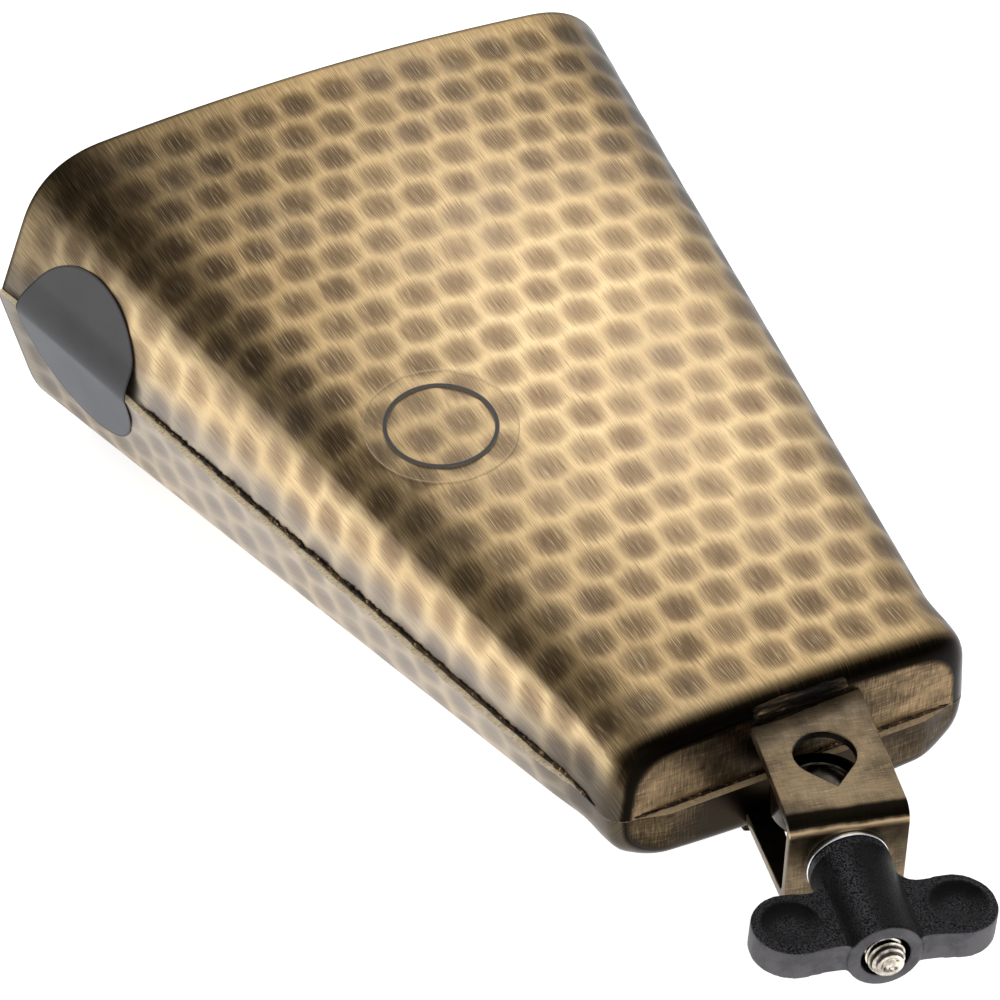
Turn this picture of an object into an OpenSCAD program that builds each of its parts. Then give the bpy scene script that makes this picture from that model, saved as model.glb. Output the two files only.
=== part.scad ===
// Mountable hammered cowbell: two pressed steel half shells welded along their
// rims, with an eye bolt clamp on the closed end that grips a round rod.
//
// Frame: the origin is on the rod's axis, half way up the clamp. +Z runs along
// the rod and out of the bell's front face. +X runs from the mouth to the
// closed end and +Y across the bell. Millimetres throughout.

/* [Bell outline] */
// Length from the mouth's rim to the closed end
bell_length = 203; // [150:1:260]
// Width across the seam at the mouth
mouth_seam_w = 152.4; // [130:0.2:180]
// Width across the face corners at the mouth
mouth_face_w = 133; // [110:0.2:150]
// Width across the seam at the closed end
closed_seam_w = 77.8; // [66:0.2:90]
// Width across the face corners at the closed end
closed_face_w = 75.4; // [64:0.2:86]
// How far the closed end's rim flares out
end_flare = 1.4; // [0.6:0.1:2.4]
// Length over which the closed end flares
flare_length = 14; // [8:1:24]

/* [Bell depth] */
// Depth of the front shell at the mouth's corners
front_mouth_depth = 29.9; // [24:0.1:36]
// Depth of the front shell at the closed end's corners
front_closed_depth = 16.6; // [15:0.1:20]
// Depth of the back shell at the mouth's corners
back_mouth_depth = 38.4; // [30:0.1:46]
// Depth of the back shell at the closed end's corners
back_closed_depth = 10.2; // [9.6:0.1:13]
// Rise of each face's crown at the mouth
mouth_crown = 3.9; // [1:0.1:6]
// Rise of each face's crown at the closed end
closed_crown = 2; // [1:0.1:3]

/* [Sheet metal] */
// Thickness of the pressed steel
wall = 1.6; // [1.2:0.1:2.2]
// Reach of the corner curve between side and face at the mouth
mouth_corner_r = 14; // [9:0.5:18]
// Reach of the corner curve between side and face at the closed end
closed_corner_r = 8; // [5:0.5:10]
// Radius of the rolled edge round the front shell's end wall
front_roll_r = 4; // [3:0.1:5]
// Radius of the rolled edge round the back shell's end wall
back_roll_r = 3; // [2.6:0.1:4]
// How far the back shell's cut edge stands out past the front shell
seam_lip = 1.2; // [0.8:0.1:1.6]

/* [Welds] */
// Height of the bead along each side seam
seam_bead_h = 1.4; // [0.8:0.1:2]
// Where the side beads start, from the mouth's rim
seam_bead_start = 48; // [48:1:60]
// Height of the bars that weld the bracket to the bell
leg_bead_h = 2.6; // [1.6:0.1:3]
// Air between a bead and the sheet beside it
bead_clearance = 0.02; // [0.01:0.01:0.05]

/* [Bracket] */
// Width of the bracket's strip
bracket_w = 24; // [21:0.5:27]
// Thickness of the bracket's strip
bracket_t = 2.2; // [1.8:0.1:2.6]
// Height of the bracket's front wall above the bolt's axis
upper_front_h = 11.68; // [11:0.02:12.5]
// Depth of the bracket's front wall below the bolt's axis
lower_front_h = 9.5; // [9:0.1:11]
// Spread of the upper leg towards the bell, in degrees
upper_spread = 0.4; // [0:0.1:2]
// Spread of the lower leg towards the bell, in degrees
lower_spread = 5.4; // [3:0.1:6.5]
// Outer radius of the two bends
bend_r = 3.6; // [3:0.1:4.4]
// Turn of the bracket about the rod's axis, in degrees
bracket_turn = 15; // [10:0.5:18]
// Distance from the rod's axis to the front wall's outer face
rod_to_wall = 18.3; // [17.6:0.1:21]
// Distance from the bell's end wall to the rod's axis
rod_to_bell = 12.4; // [12:0.1:15]
// How far the rod's axis lies to one side of the bell's middle
rod_offset = 1.7; // [0:0.1:3]
// Height of the clamp's middle above the seam
clamp_height = 1.9; // [0:0.1:3]

/* [Rod clamp] */
// Diameter of the rod hole's round part
rod_hole_d = 12.4; // [11:0.1:13]
// Distance from the rod's axis to the tip of the hole's notch
notch_reach = 8; // [7.2:0.1:9]
// Width of the metal round the eye's hole
eye_rim = 3.8; // [3:0.1:4]
// Thickness of the eye along the rod
eye_t = 6; // [5:0.1:8]

/* [Bolt and nut] */
// Diameter of the bolt's thread
bolt_d = 8; // [7:0.5:9]
// Thread pitch, one turn of the wing nut
thread_pitch = 1.25; // [1:0.25:1.5]
// How far the bolt's tip stands past the bracket's front wall
bolt_reach = 28.3; // [27.5:0.1:31]
// Clearance round the thread where it passes the bracket
bolt_hole_clearance = 0.4; // [0.3:0.05:0.6]
// Clearance round the thread inside the nut's insert
thread_clearance = 0.1; // [0.05:0.05:0.2]
// Diameter of the washer
washer_d = 16.6; // [15.6:0.1:18]
// Thickness of the washer
washer_t = 1.6; // [1:0.1:2]
// Air between the washer and the faces beside it
washer_clearance = 0.05; // [0.02:0.01:0.1]
// Diameter of the wing nut's hub
hub_d = 15.4; // [14:0.1:17]
// How far the wing nut reaches past the bracket's front wall
nut_reach = 26; // [25:0.1:27.5]
// Span across the two wings
wing_span = 48.6; // [42:0.2:54]
// Length of each wing along the bolt
wing_l = 16.4; // [15:0.1:18]
// Thickness of the wings
wing_t = 6.6; // [5.6:0.1:7.4]
// Depth of the finger dimples
dimple_depth = 1; // [0.5:0.1:1.5]
// Turn of the wings from the bracket's width, in degrees
wing_turn = -2; // [-20:1:20]
// Diameter of the metal insert in the hub
insert_d = 11; // [10.4:0.1:12]
// Length of the metal insert
insert_l = 15; // [12:0.5:17]
// Diameter of the open bore past the insert
hub_bore_d = 9.6; // [9.2:0.1:10.2]

/* [Labels] */
// Diameter of the plain film on the side, over the seam
side_label_d = 37; // [24:1:38]
// Distance of the side film's middle from the mouth's rim
side_label_x = 27; // [20:0.5:29]
// Height of the side film's middle above the seam
side_label_z = -2; // [-4:0.5:-1]
// Diameter of the plain film on the front face
face_label_d = 32; // [20:1:40]
// Distance of the face film's middle from the mouth's rim
face_label_x = 108; // [80:1:130]
// Distance of the face film's middle from the bell's middle
face_label_y = -27; // [-28:1:28]
// Thickness of both films
label_t = 0.2; // [0.15:0.05:0.3]
// Air under both films
label_clearance = 0.05; // [0.02:0.01:0.1]

/* [Hidden] */

// Number of straight pieces in a side, a corner curve, a crown's half and a
// rolled edge
side_steps = 3;
corner_steps = 6;
crown_steps = 6;
roll_steps = 4;
// Number of stations along the straight body and along the flare
body_steps = 6;
flare_steps = 3;
// Number of pieces along and across a film, and the angle of its first row
film_steps = 6;
film_end = 5;
// Height at which the side film's bridge over the lip meets the front shell
lip_bridge = 2*seam_lip;
// How far a cutting solid runs past the face it cuts
cut_margin = 1;

eye_r = rod_hole_d/2 + eye_rim;
bolt_hole_d = bolt_d + 2*bolt_hole_clearance;
insert_bore_d = bolt_d + 2*thread_clearance;
washer_start = rod_to_wall + washer_clearance;
nut_start = washer_start + washer_t + washer_clearance;
nut_end = rod_to_wall + nut_reach;
// The wings end a little behind the hub's front face
wing_setback = 0.3;
wing_r = wing_l/2;
wing_middle = nut_end - wing_setback - wing_r;
wing_tip_y = wing_span/2 - wing_r;

// A shell is given as [seam width, face width, depth, crown, corner] at the
// mouth and at the closed end, then its length and the radius of its end roll.
front_profile = [[mouth_seam_w/2, mouth_face_w/2, front_mouth_depth, mouth_crown, mouth_corner_r],
                 [closed_seam_w/2, closed_face_w/2, front_closed_depth, closed_crown, closed_corner_r],
                 bell_length, front_roll_r];
back_profile = [[mouth_seam_w/2 + seam_lip, mouth_face_w/2, back_mouth_depth, mouth_crown, mouth_corner_r],
                [closed_seam_w/2 + seam_lip, closed_face_w/2, back_closed_depth, closed_crown,
                 closed_corner_r],
                bell_length + seam_lip, back_roll_r];

function blend(a, b, u) = a + (b - a)*u;
function smooth(u) = u*u*(3 - 2*u);

// Half a cross section in [y, z], from the seam up one side, over the crown
// and down the other. Its corners are curves that touch the side and the crown.
function half_section(seam, face, depth, crown, corner) =
    let (foot = [seam, 0],
         shoulder = [face, depth],
         side_len = norm(shoulder - foot),
         side_end = shoulder + (foot - shoulder)/side_len*min(corner, 0.8*side_len),
         slope = [-1, 2*crown/face]/norm([1, 2*crown/face]),
         crown_y = face + slope[0]*corner,
         crown_end = [crown_y, depth + crown*(1 - pow(crown_y/face, 2))],
         curve = [for (i = [0:corner_steps]) let (t = i/corner_steps)
                  (1 - t)*(1 - t)*side_end + 2*t*(1 - t)*shoulder + t*t*crown_end],
         arch = [for (i = [1:crown_steps]) let (y = crown_y*(1 - i/crown_steps))
                 [y, depth + crown*(1 - pow(y/face, 2))]],
         side = [for (i = [0:side_steps - 1]) blend(foot, side_end, i/side_steps)],
         right = concat(side, curve, arch))
    concat(right, [for (i = [len(right) - 2:-1:0]) [-right[i][0], right[i][1]]]);

// A shell's sizes at x from the mouth, in the order of its profile
function shell_sizes(profile, x) = blend(profile[0], profile[1], x/profile[2]);

// Stations along a shell as [x, growth, inset]: the straight body, the flare
// and the rolled edge round the end wall.
function stations(length, roll) =
    let (flare_start = length - roll - flare_length)
    concat([for (i = [0:body_steps - 1]) [flare_start*i/body_steps, 0, 0]],
           [for (i = [0:flare_steps]) let (u = i/flare_steps)
            [flare_start + flare_length*u, end_flare*smooth(u), 0]],
           [for (i = [1:roll_steps]) let (t = 90*i/roll_steps)
            [length - roll + roll*sin(t), end_flare, roll*(1 - cos(t))]]);

// The section of a shell at one station, with its skin moved in by skin_in.
function section_at(profile, station, skin_in) =
    let (sizes = shell_sizes(profile, station[0]),
         shift = station[1] - station[2] - skin_in)
    [for (p = half_section(sizes[0] + shift, sizes[1] + shift,
                           sizes[2] + station[1]/2 - station[2] - skin_in,
                           sizes[3], sizes[4]))
     [station[0], p[0], p[1]]];

// The same section with its foot carried down past the seam, for cutting.
function footed(section) =
    let (last = section[len(section) - 1])
    concat([section[0] - [0, 0, cut_margin]], section, [last - [0, 0, cut_margin]]);

// A solid through a list of sections that all have the same number of points.
module loft(sections) {
    n = len(sections[0]);
    m = len(sections);
    sides = [for (k = [0:m - 2], i = [0:n - 1], half = [0, 1])
             let (a = k*n + i, b = k*n + (i + 1)%n)
             half == 0 ? [a, b + n, b] : [a, a + n, b + n]];
    caps = [[for (i = [0:n - 1]) i], [for (i = [n - 1:-1:0]) (m - 1)*n + i]];
    polyhedron(points = [for (s = sections, p = s) p], faces = concat(sides, caps), convexity = 6);
}

// The outside of one half bell as a full solid, its skin moved in by skin_in.
module shell_solid(profile, skin_in = 0) {
    loft([for (s = stations(profile[2], profile[3])) section_at(profile, s, skin_in)]);
}

module shell_hollow(profile) {
    inside = stations(profile[2] - wall, profile[3] - wall);
    before = [-cut_margin, 0, 0];
    loft([for (s = concat([before], inside)) footed(section_at(profile, s, wall))]);
}

module half_shell(profile) {
    difference() {
        shell_solid(profile);
        shell_hollow(profile);
    }
}

// From the bell's own frame, with its mouth at x = 0 and its seam at z = 0
module place_bell() {
    translate([-bell_length - rod_to_bell, rod_offset, -clamp_height]) children();
}

module flip_to_back() {
    mirror([0, 0, 1]) children();
}

// From the clamp's own frame, with its bolt along +X
module place_clamp() {
    rotate([0, 0, -bracket_turn]) children();
}

module front_shell() {
    color("darkkhaki") place_bell() half_shell(front_profile);
}

module back_shell() {
    color("tan") place_bell() flip_to_back() half_shell(back_profile);
}

// One bead along the +Y seam, in the corner between the front shell's side
// and the back shell's edge. It is drawn through the side, which then cuts it.
module side_bead() {
    path = [for (s = concat([[seam_bead_start, 0, 0]],
                            stations(front_profile[2], front_profile[3])))
            if (s[0] >= seam_bead_start && s[2] == 0) s];
    difference() {
        loft([for (s = path)
              let (foot = shell_sizes(front_profile, s[0])[0] + s[1],
                   edge = foot + seam_lip - bead_clearance)
              [[s[0], foot - wall, bead_clearance],
               [s[0], edge, bead_clearance],
               [s[0], edge - 0.3*seam_lip, 0.6*seam_bead_h],
               [s[0], foot - wall, seam_bead_h]]]);
        shell_solid(front_profile, -bead_clearance);
    }
}

module left_seam_weld() {
    color("dimgray") place_bell() mirror([0, 1, 0]) side_bead();
}

module right_seam_weld() {
    color("dimgray") place_bell() side_bead();
}

// The bead across the end wall, in the corner over the back shell's edge
module end_seam_weld() {
    half_l = closed_seam_w/2 + end_flare - front_roll_r;
    bead_x = bell_length + bead_clearance;
    color("dimgray") place_bell()
        translate([0, half_l, 0]) rotate([90, 0, 0])
            linear_extrude(2*half_l)
                polygon([[bead_x, bead_clearance],
                         [bead_x + seam_lip - 2*bead_clearance, bead_clearance],
                         [bead_x + 0.5*seam_lip, 0.6*seam_bead_h],
                         [bead_x, seam_bead_h]]);
}

// One side of the bracket's strip in [x, z], for the bend of radius r: the
// front wall at the bolt's axis, the bend's arc and the end of the leg.
function strip_edge(r, front_h, spread) =
    let (inset = bend_r - r,
         centre_x = rod_to_wall - bend_r,
         centre_z = front_h - bend_r*(1 - sin(spread))/cos(spread),
         arc = [for (i = [0:corner_steps]) let (a = (90 - spread)*i/corner_steps)
                [centre_x + r*cos(a), centre_z + r*sin(a)]],
         last = arc[corner_steps],
         run = rod_to_wall + 2*rod_to_bell,
         foot = last + run*[-cos(spread), sin(spread)])
    concat([[rod_to_wall - inset, 0]], arc, [foot]);

module half_strip(front_h, spread) {
    outer = strip_edge(bend_r, front_h, spread);
    inner = strip_edge(bend_r - bracket_t, front_h, spread);
    polygon(concat(outer, [for (i = [len(inner) - 1:-1:0]) inner[i]]));
}

// The whole bent strip before its feet are trimmed to the bell
module strip() {
    for (leg = [[0, upper_front_h, upper_spread], [1, lower_front_h, lower_spread]])
        mirror([0, 0, leg[0]])
            translate([0, bracket_w/2, 0]) rotate([90, 0, 0])
                linear_extrude(bracket_w) half_strip(leg[1], leg[2]);
}

// The room that the bell's end wall takes up, stepped at the seam
module bell_room() {
    reach = 4*rod_to_bell;
    translate([-rod_to_bell - reach, -reach, -clamp_height]) cube([reach, 2*reach, reach]);
    translate([-rod_to_bell + seam_lip - reach, -reach, -clamp_height - reach])
        cube([reach, 2*reach, reach]);
}

// A round hole with a notch towards the front wall, for rods of any size
module rod_hole() {
    height = 2*(upper_front_h + lower_front_h);
    r = rod_hole_d/2;
    half_angle = acos(r/notch_reach);
    touch = [r*cos(half_angle), r*sin(half_angle)];
    translate([0, 0, -height/2]) {
        cylinder(d = rod_hole_d, h = height, $fn = 64);
        linear_extrude(height)
            polygon([[0, 0], [touch[0], -touch[1]], [notch_reach, 0], touch]);
    }
}

module mounting_bracket() {
    color("peru") difference() {
        place_clamp() difference() {
            strip();
            rod_hole();
            rotate([0, 90, 0]) cylinder(d = bolt_hole_d, h = 2*rod_to_wall, $fn = 48);
        }
        bell_room();
    }
}

// A round bar of weld along the outer face of a leg, where it meets the bell.
// What the bell and the bracket fill is cut from it afterwards.
module leg_bead(front_h, spread) {
    foot_z = front_h + (rod_to_wall - rod_to_bell)*tan(spread)
             + 2*rod_to_bell*tan(spread);
    bar_l = bracket_w - leg_bead_h;
    translate([-rod_to_bell, -bar_l/2, foot_z + leg_bead_h/3]) rotate([-90, 0, 0])
        cylinder(d = 1.5*leg_bead_h, h = bar_l, $fn = 12);
}

module bracket_weld_top() {
    color("dimgray") difference() {
        leg_bead(upper_front_h, upper_spread);
        place_bell() shell_solid(front_profile, -bead_clearance);
        place_clamp() strip();
    }
}

module bracket_weld_bottom() {
    color("dimgray") difference() {
        mirror([0, 0, 1]) leg_bead(lower_front_h, lower_spread);
        place_bell() flip_to_back() shell_solid(back_profile, -bead_clearance);
        place_clamp() strip();
    }
}

// The clamp is drawn open, with the eye in line with the legs' holes
module eye_bolt() {
    shank_start = rod_hole_d/2 + eye_rim/2;
    tip = rod_to_wall + bolt_reach;
    chamfer = thread_pitch;
    color("silver") place_clamp() difference() {
        union() {
            translate([0, 0, -eye_t/2]) cylinder(r = eye_r, h = eye_t, $fn = 64);
            rotate([0, 90, 0]) {
                translate([0, 0, shank_start])
                    cylinder(d = bolt_d, h = tip - chamfer - shank_start, $fn = 48);
                translate([0, 0, tip - chamfer])
                    cylinder(d1 = bolt_d, d2 = bolt_d - 2*chamfer, h = chamfer, $fn = 48);
            }
        }
        translate([0, 0, -eye_t]) cylinder(d = rod_hole_d, h = 2*eye_t, $fn = 64);
    }
}

module washer() {
    color("lightsteelblue") place_clamp() translate([washer_start, 0, 0]) rotate([0, 90, 0])
        difference() {
            cylinder(d = washer_d, h = washer_t, $fn = 64);
            translate([0, 0, -cut_margin])
                cylinder(d = bolt_hole_d, h = washer_t + 2*cut_margin, $fn = 48);
        }
}

// The wings' outline in [x, y], widest at the round tips
module wing_outline() {
    for (side = [-1, 1])
        hull() {
            translate([wing_middle, side*wing_tip_y]) circle(r = wing_r, $fn = 48);
            translate([wing_middle - 0.7*wing_r, 0]) circle(r = 0.3*wing_r, $fn = 24);
            translate([wing_middle + 0.7*wing_r, 0]) circle(r = 0.3*wing_r, $fn = 24);
        }
}

// A shallow round hollow for a fingertip, in one face of one wing
module finger_dimple(side, face) {
    dimple_r = 0.62*wing_r;
    ball_r = (dimple_r*dimple_r + dimple_depth*dimple_depth)/(2*dimple_depth);
    translate([wing_middle, side*wing_tip_y, face*(wing_t/2 - dimple_depth + ball_r)])
        sphere(r = ball_r, $fn = 96);
}

module wing_nut() {
    color("#2a2a2c") place_clamp() rotate([wing_turn, 0, 0]) difference() {
        union() {
            translate([nut_start, 0, 0]) rotate([0, 90, 0])
                cylinder(d = hub_d, h = nut_end - nut_start, $fn = 64);
            translate([0, 0, -wing_t/2]) linear_extrude(wing_t) wing_outline();
        }
        translate([nut_start - cut_margin, 0, 0]) rotate([0, 90, 0])
            cylinder(d = insert_d, h = insert_l + cut_margin, $fn = 48);
        translate([nut_start, 0, 0]) rotate([0, 90, 0])
            cylinder(d = hub_bore_d, h = nut_reach, $fn = 48);
        for (side = [-1, 1], face = [-1, 1])
            finger_dimple(side, face);
    }
}

module wing_nut_insert() {
    color("gold") place_clamp() translate([nut_start, 0, 0]) rotate([0, 90, 0])
        difference() {
            cylinder(d = insert_d, h = insert_l, $fn = 48);
            translate([0, 0, -cut_margin])
                cylinder(d = insert_bore_d, h = insert_l + 2*cut_margin, $fn = 48);
        }
}

// Height of the front face's skin
function face_skin(x, y) =
    let (sizes = shell_sizes(front_profile, x))
    sizes[2] + sizes[3]*(1 - pow(y/sizes[1], 2));

// Half width of the bell's side at height z: the back shell, then the film's
// slanting bridge over the lip, then the front shell
function side_skin(x, z) =
    let (front = shell_sizes(front_profile, x),
         back = shell_sizes(back_profile, x))
    z >= lip_bridge ? blend(front[0], front[1], z/front[2])
    : z >= 0 ? blend(back[0], blend(front[0], front[1], lip_bridge/front[2]), z/lip_bridge)
    : blend(back[0], back[1], -z/back[2]);

// The points of a round film, in rows at the given angles from its edge: each
// row holds places as [along, across, side], side 0 for the film's top and 1
// for its back.
function film_rows(d, angles) =
    [for (a = angles)
     let (half = d/2*sin(a))
     concat([for (j = [0:film_steps]) [-d/2*cos(a), half*(1 - 2*j/film_steps), 0]],
            [for (j = [film_steps:-1:0]) [-d/2*cos(a), half*(1 - 2*j/film_steps), 1]])];

// Angles spread evenly, in film_steps steps
function film_angles(from, to) = [for (i = [0:film_steps]) blend(from, to, i/film_steps)];

// A film's distance from the skin on its top, and on the back that is drawn
// under the skin for the shells to cut
function film_lift(side) = side == 0 ? label_clearance + label_t : -label_t;

// Its rows lie level, and two of them are the film's folds: at the lip's edge
// and where its bridge meets the front shell.
module side_label() {
    lip_fold = acos(2*side_label_z/side_label_d);
    front_fold = acos(2*(side_label_z - lip_bridge)/side_label_d);
    angles = concat(film_angles(film_end, lip_fold), film_angles(front_fold, 180 - film_end));
    color("#3b3a38") place_bell() difference() {
        loft([for (row = film_rows(side_label_d, angles))
              [for (p = row)
               let (x = side_label_x - p[1], z = side_label_z + p[0])
               [x, -side_skin(x, z) - film_lift(p[2]), z]]]);
        shell_solid(front_profile, -label_clearance);
        flip_to_back() shell_solid(back_profile, -label_clearance);
    }
}

module face_label() {
    color("gainsboro") place_bell() difference() {
        loft([for (row = film_rows(face_label_d, film_angles(film_end, 180 - film_end)))
              [for (p = row)
               let (x = face_label_x + p[0], y = face_label_y + p[1])
               [x, y, face_skin(x, y) + film_lift(p[2])]]]);
        shell_solid(front_profile, -label_clearance);
    }
}

front_shell();
back_shell();
left_seam_weld();
right_seam_weld();
end_seam_weld();
mounting_bracket();
bracket_weld_top();
bracket_weld_bottom();
eye_bolt();
washer();
wing_nut();
wing_nut_insert();
side_label();
face_label();
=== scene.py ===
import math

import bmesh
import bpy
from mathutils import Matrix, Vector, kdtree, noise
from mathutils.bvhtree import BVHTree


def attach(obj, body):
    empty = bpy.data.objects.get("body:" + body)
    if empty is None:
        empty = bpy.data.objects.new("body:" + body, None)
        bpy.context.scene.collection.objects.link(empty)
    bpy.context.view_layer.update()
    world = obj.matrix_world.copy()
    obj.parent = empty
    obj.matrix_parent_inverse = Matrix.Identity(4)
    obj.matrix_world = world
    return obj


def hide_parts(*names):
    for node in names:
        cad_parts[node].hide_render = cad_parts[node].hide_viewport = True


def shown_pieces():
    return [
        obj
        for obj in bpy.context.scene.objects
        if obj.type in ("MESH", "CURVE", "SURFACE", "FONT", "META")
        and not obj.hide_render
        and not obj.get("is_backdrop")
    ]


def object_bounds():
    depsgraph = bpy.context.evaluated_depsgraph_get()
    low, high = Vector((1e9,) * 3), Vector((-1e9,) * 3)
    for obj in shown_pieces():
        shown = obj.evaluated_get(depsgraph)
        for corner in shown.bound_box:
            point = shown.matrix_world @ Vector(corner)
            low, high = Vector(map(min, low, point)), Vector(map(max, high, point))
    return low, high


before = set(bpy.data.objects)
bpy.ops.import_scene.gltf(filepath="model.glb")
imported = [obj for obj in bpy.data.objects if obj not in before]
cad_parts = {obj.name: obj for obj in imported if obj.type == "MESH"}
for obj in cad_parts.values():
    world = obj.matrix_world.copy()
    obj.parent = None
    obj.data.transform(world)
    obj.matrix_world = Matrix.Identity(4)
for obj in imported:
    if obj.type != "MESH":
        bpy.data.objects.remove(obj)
cad_low, cad_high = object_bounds()

# %% [markdown]
# # A hammered cowbell with a rod clamp
#
# The object is a cowbell that a drummer fixes on a rod. Two half shells of steel
# were pressed, hammered, brushed and stained like old bronze, then welded
# together along their rims. A bent strip on the closed end carries an eye bolt,
# which a black wing nut draws tight on the rod.
#
# The solids were made in a CAD program and are loaded above, as a fixed frame.
# This lesson dresses them: it makes each visible piece again with the detail that
# the eye looks for, and gives each one a finish made of shader nodes. All
# lengths in the notes are in millimetres, and Blender works in metres.

MM = 0.001
X_AXIS, Y_AXIS, Z_AXIS = Vector((1, 0, 0)), Vector((0, 1, 0)), Vector((0, 0, 1))
scene = bpy.context.scene
scene.view_settings.view_transform = "Standard"
print("CAD box in mm:", [round(v / MM, 1) for v in (*cad_low, *cad_high)])

# %% [markdown]
# ## The camera
#
# The camera comes first, because small fittings are later placed through it.
# It stands where the photographer stood: above the closed end and to one side,
# more than a metre away with a long lens, so the bell's edges hardly converge.
# It is described in words that a photographer would use: what it aims at, how
# far away it is, its compass angle, its height angle and a slight roll.

# %% Camera
AIMED_AT = Vector((-105.26, -13.06, -0.33)) * MM
CAMERA_DISTANCE = 1129.5 * MM
CAMERA_AZIMUTH = math.radians(59.54)
CAMERA_ELEVATION = math.radians(40.86)
CAMERA_ROLL = math.radians(2.57)
LENS, SENSOR = 197.8, 36.0

back = Vector((math.sin(CAMERA_AZIMUTH) * math.cos(CAMERA_ELEVATION),
               -math.cos(CAMERA_AZIMUTH) * math.cos(CAMERA_ELEVATION),
               math.sin(CAMERA_ELEVATION)))
camera = bpy.data.objects.new("camera", bpy.data.cameras.new("camera"))
scene.collection.objects.link(camera)
scene.camera = camera
camera.data.sensor_fit = "AUTO"
camera.data.sensor_width, camera.data.lens = SENSOR, LENS
camera.data.clip_start, camera.data.clip_end = 0.05, 20
camera.matrix_world = (Matrix.Translation(AIMED_AT + back * CAMERA_DISTANCE)
                       @ (-back).to_track_quat("-Z", "Y").to_matrix().to_4x4()
                       @ Matrix.Rotation(CAMERA_ROLL, 4, "Z"))
view_matrix = camera.matrix_world.copy()
print("camera at", [round(v, 4) for v in view_matrix.translation])

# %% [markdown]
# ## Points seen in the photograph
#
# A few places were read off the photograph, in pixels of its 1000 by 1000
# frame. They say where the outline ends and where small things sit. Where the
# solids or the looks put a thing some pixels elsewhere, its point was moved to
# where the thing shows. At the end the script projects the finished pieces back
# and writes how far each one is from its point, so a later slip of the camera or
# of a shape can't hide.

# %% Image points
W, H = 1000, 1000
LONG_SIDE = max(W, H)
IMAGE_POINTS = {
    "left_edge": (1, None), "right_edge": (999, None),
    "top_edge": (None, 14), "bottom_edge": (None, 985),
    "side_film": (79, 355), "face_film": (441, 426),
    "bend_near_corner": (788, 834), "bend_far_corner": (909, 816),
    "rod_hole_notch": (836, 785), "bolt_tip": (889, 965),
    "near_wing_tip": (747, 943), "far_wing_tip": (999, 911),
}


def pixel_ray(x, y):
    """The camera's ray through a pixel: where it starts and which way it goes."""
    shift_x, shift_y = camera.data.shift_x, camera.data.shift_y
    away = Vector((x - W / 2 + shift_x * LONG_SIDE, H / 2 - y + shift_y * LONG_SIDE,
                   -LONG_SIDE * LENS / SENSOR))
    return view_matrix.translation, (view_matrix.to_3x3() @ away).normalized()


def pixel_of(place):
    """The pixel at which the camera sees a place."""
    seen = view_matrix.inverted() @ place
    scale = LONG_SIDE * LENS / SENSOR / -seen.z
    return W / 2 + seen.x * scale, H / 2 - seen.y * scale


def place_on(carrier, point):
    """The place on a finished piece's surface that the camera sees at an image point."""
    start, away = pixel_ray(*point)
    tree = BVHTree.FromObject(carrier, bpy.context.evaluated_depsgraph_get())
    hit = tree.ray_cast(start, away)[0]
    if hit is None:
        # The ray misses, so the place nearest to it is taken, looking all along the bell.
        shares = [0.85 + 0.005 * step for step in range(61)]
        beside = [start + away * CAMERA_DISTANCE * share for share in shares]
        hit = min((tree.find_nearest(place) for place in beside), key=lambda found: found[3])[0]
    return hit


print("named image points:", len(IMAGE_POINTS))

# %% [markdown]
# ## A way to write finishes
#
# A finish is a small tree of shader nodes. Wiring nodes by hand is long to read,
# so a socket is wrapped in a class that knows how to add, subtract and multiply.
# `1 - dimple * 0.5` then makes its Math nodes by itself. Every other node
# comes from one method that takes the node's type, its settings and its sockets.

# %% Shader maths
class Value:
    """A node's output that can be used in ordinary sums."""

    def __init__(self, finish, socket):
        self.finish, self.socket = finish, socket

    def maths(self, operation, first, second):
        return self.finish.node("ShaderNodeMath", {"operation": operation}, {0: first, 1: second})

    def __add__(self, other):
        return self.maths("ADD", self, other)

    def __sub__(self, other):
        return self.maths("SUBTRACT", self, other)

    def __rsub__(self, other):
        return self.maths("SUBTRACT", other, self)

    def __mul__(self, other):
        return self.maths("MULTIPLY", self, other)

    __radd__, __rmul__ = __add__, __mul__


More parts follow.
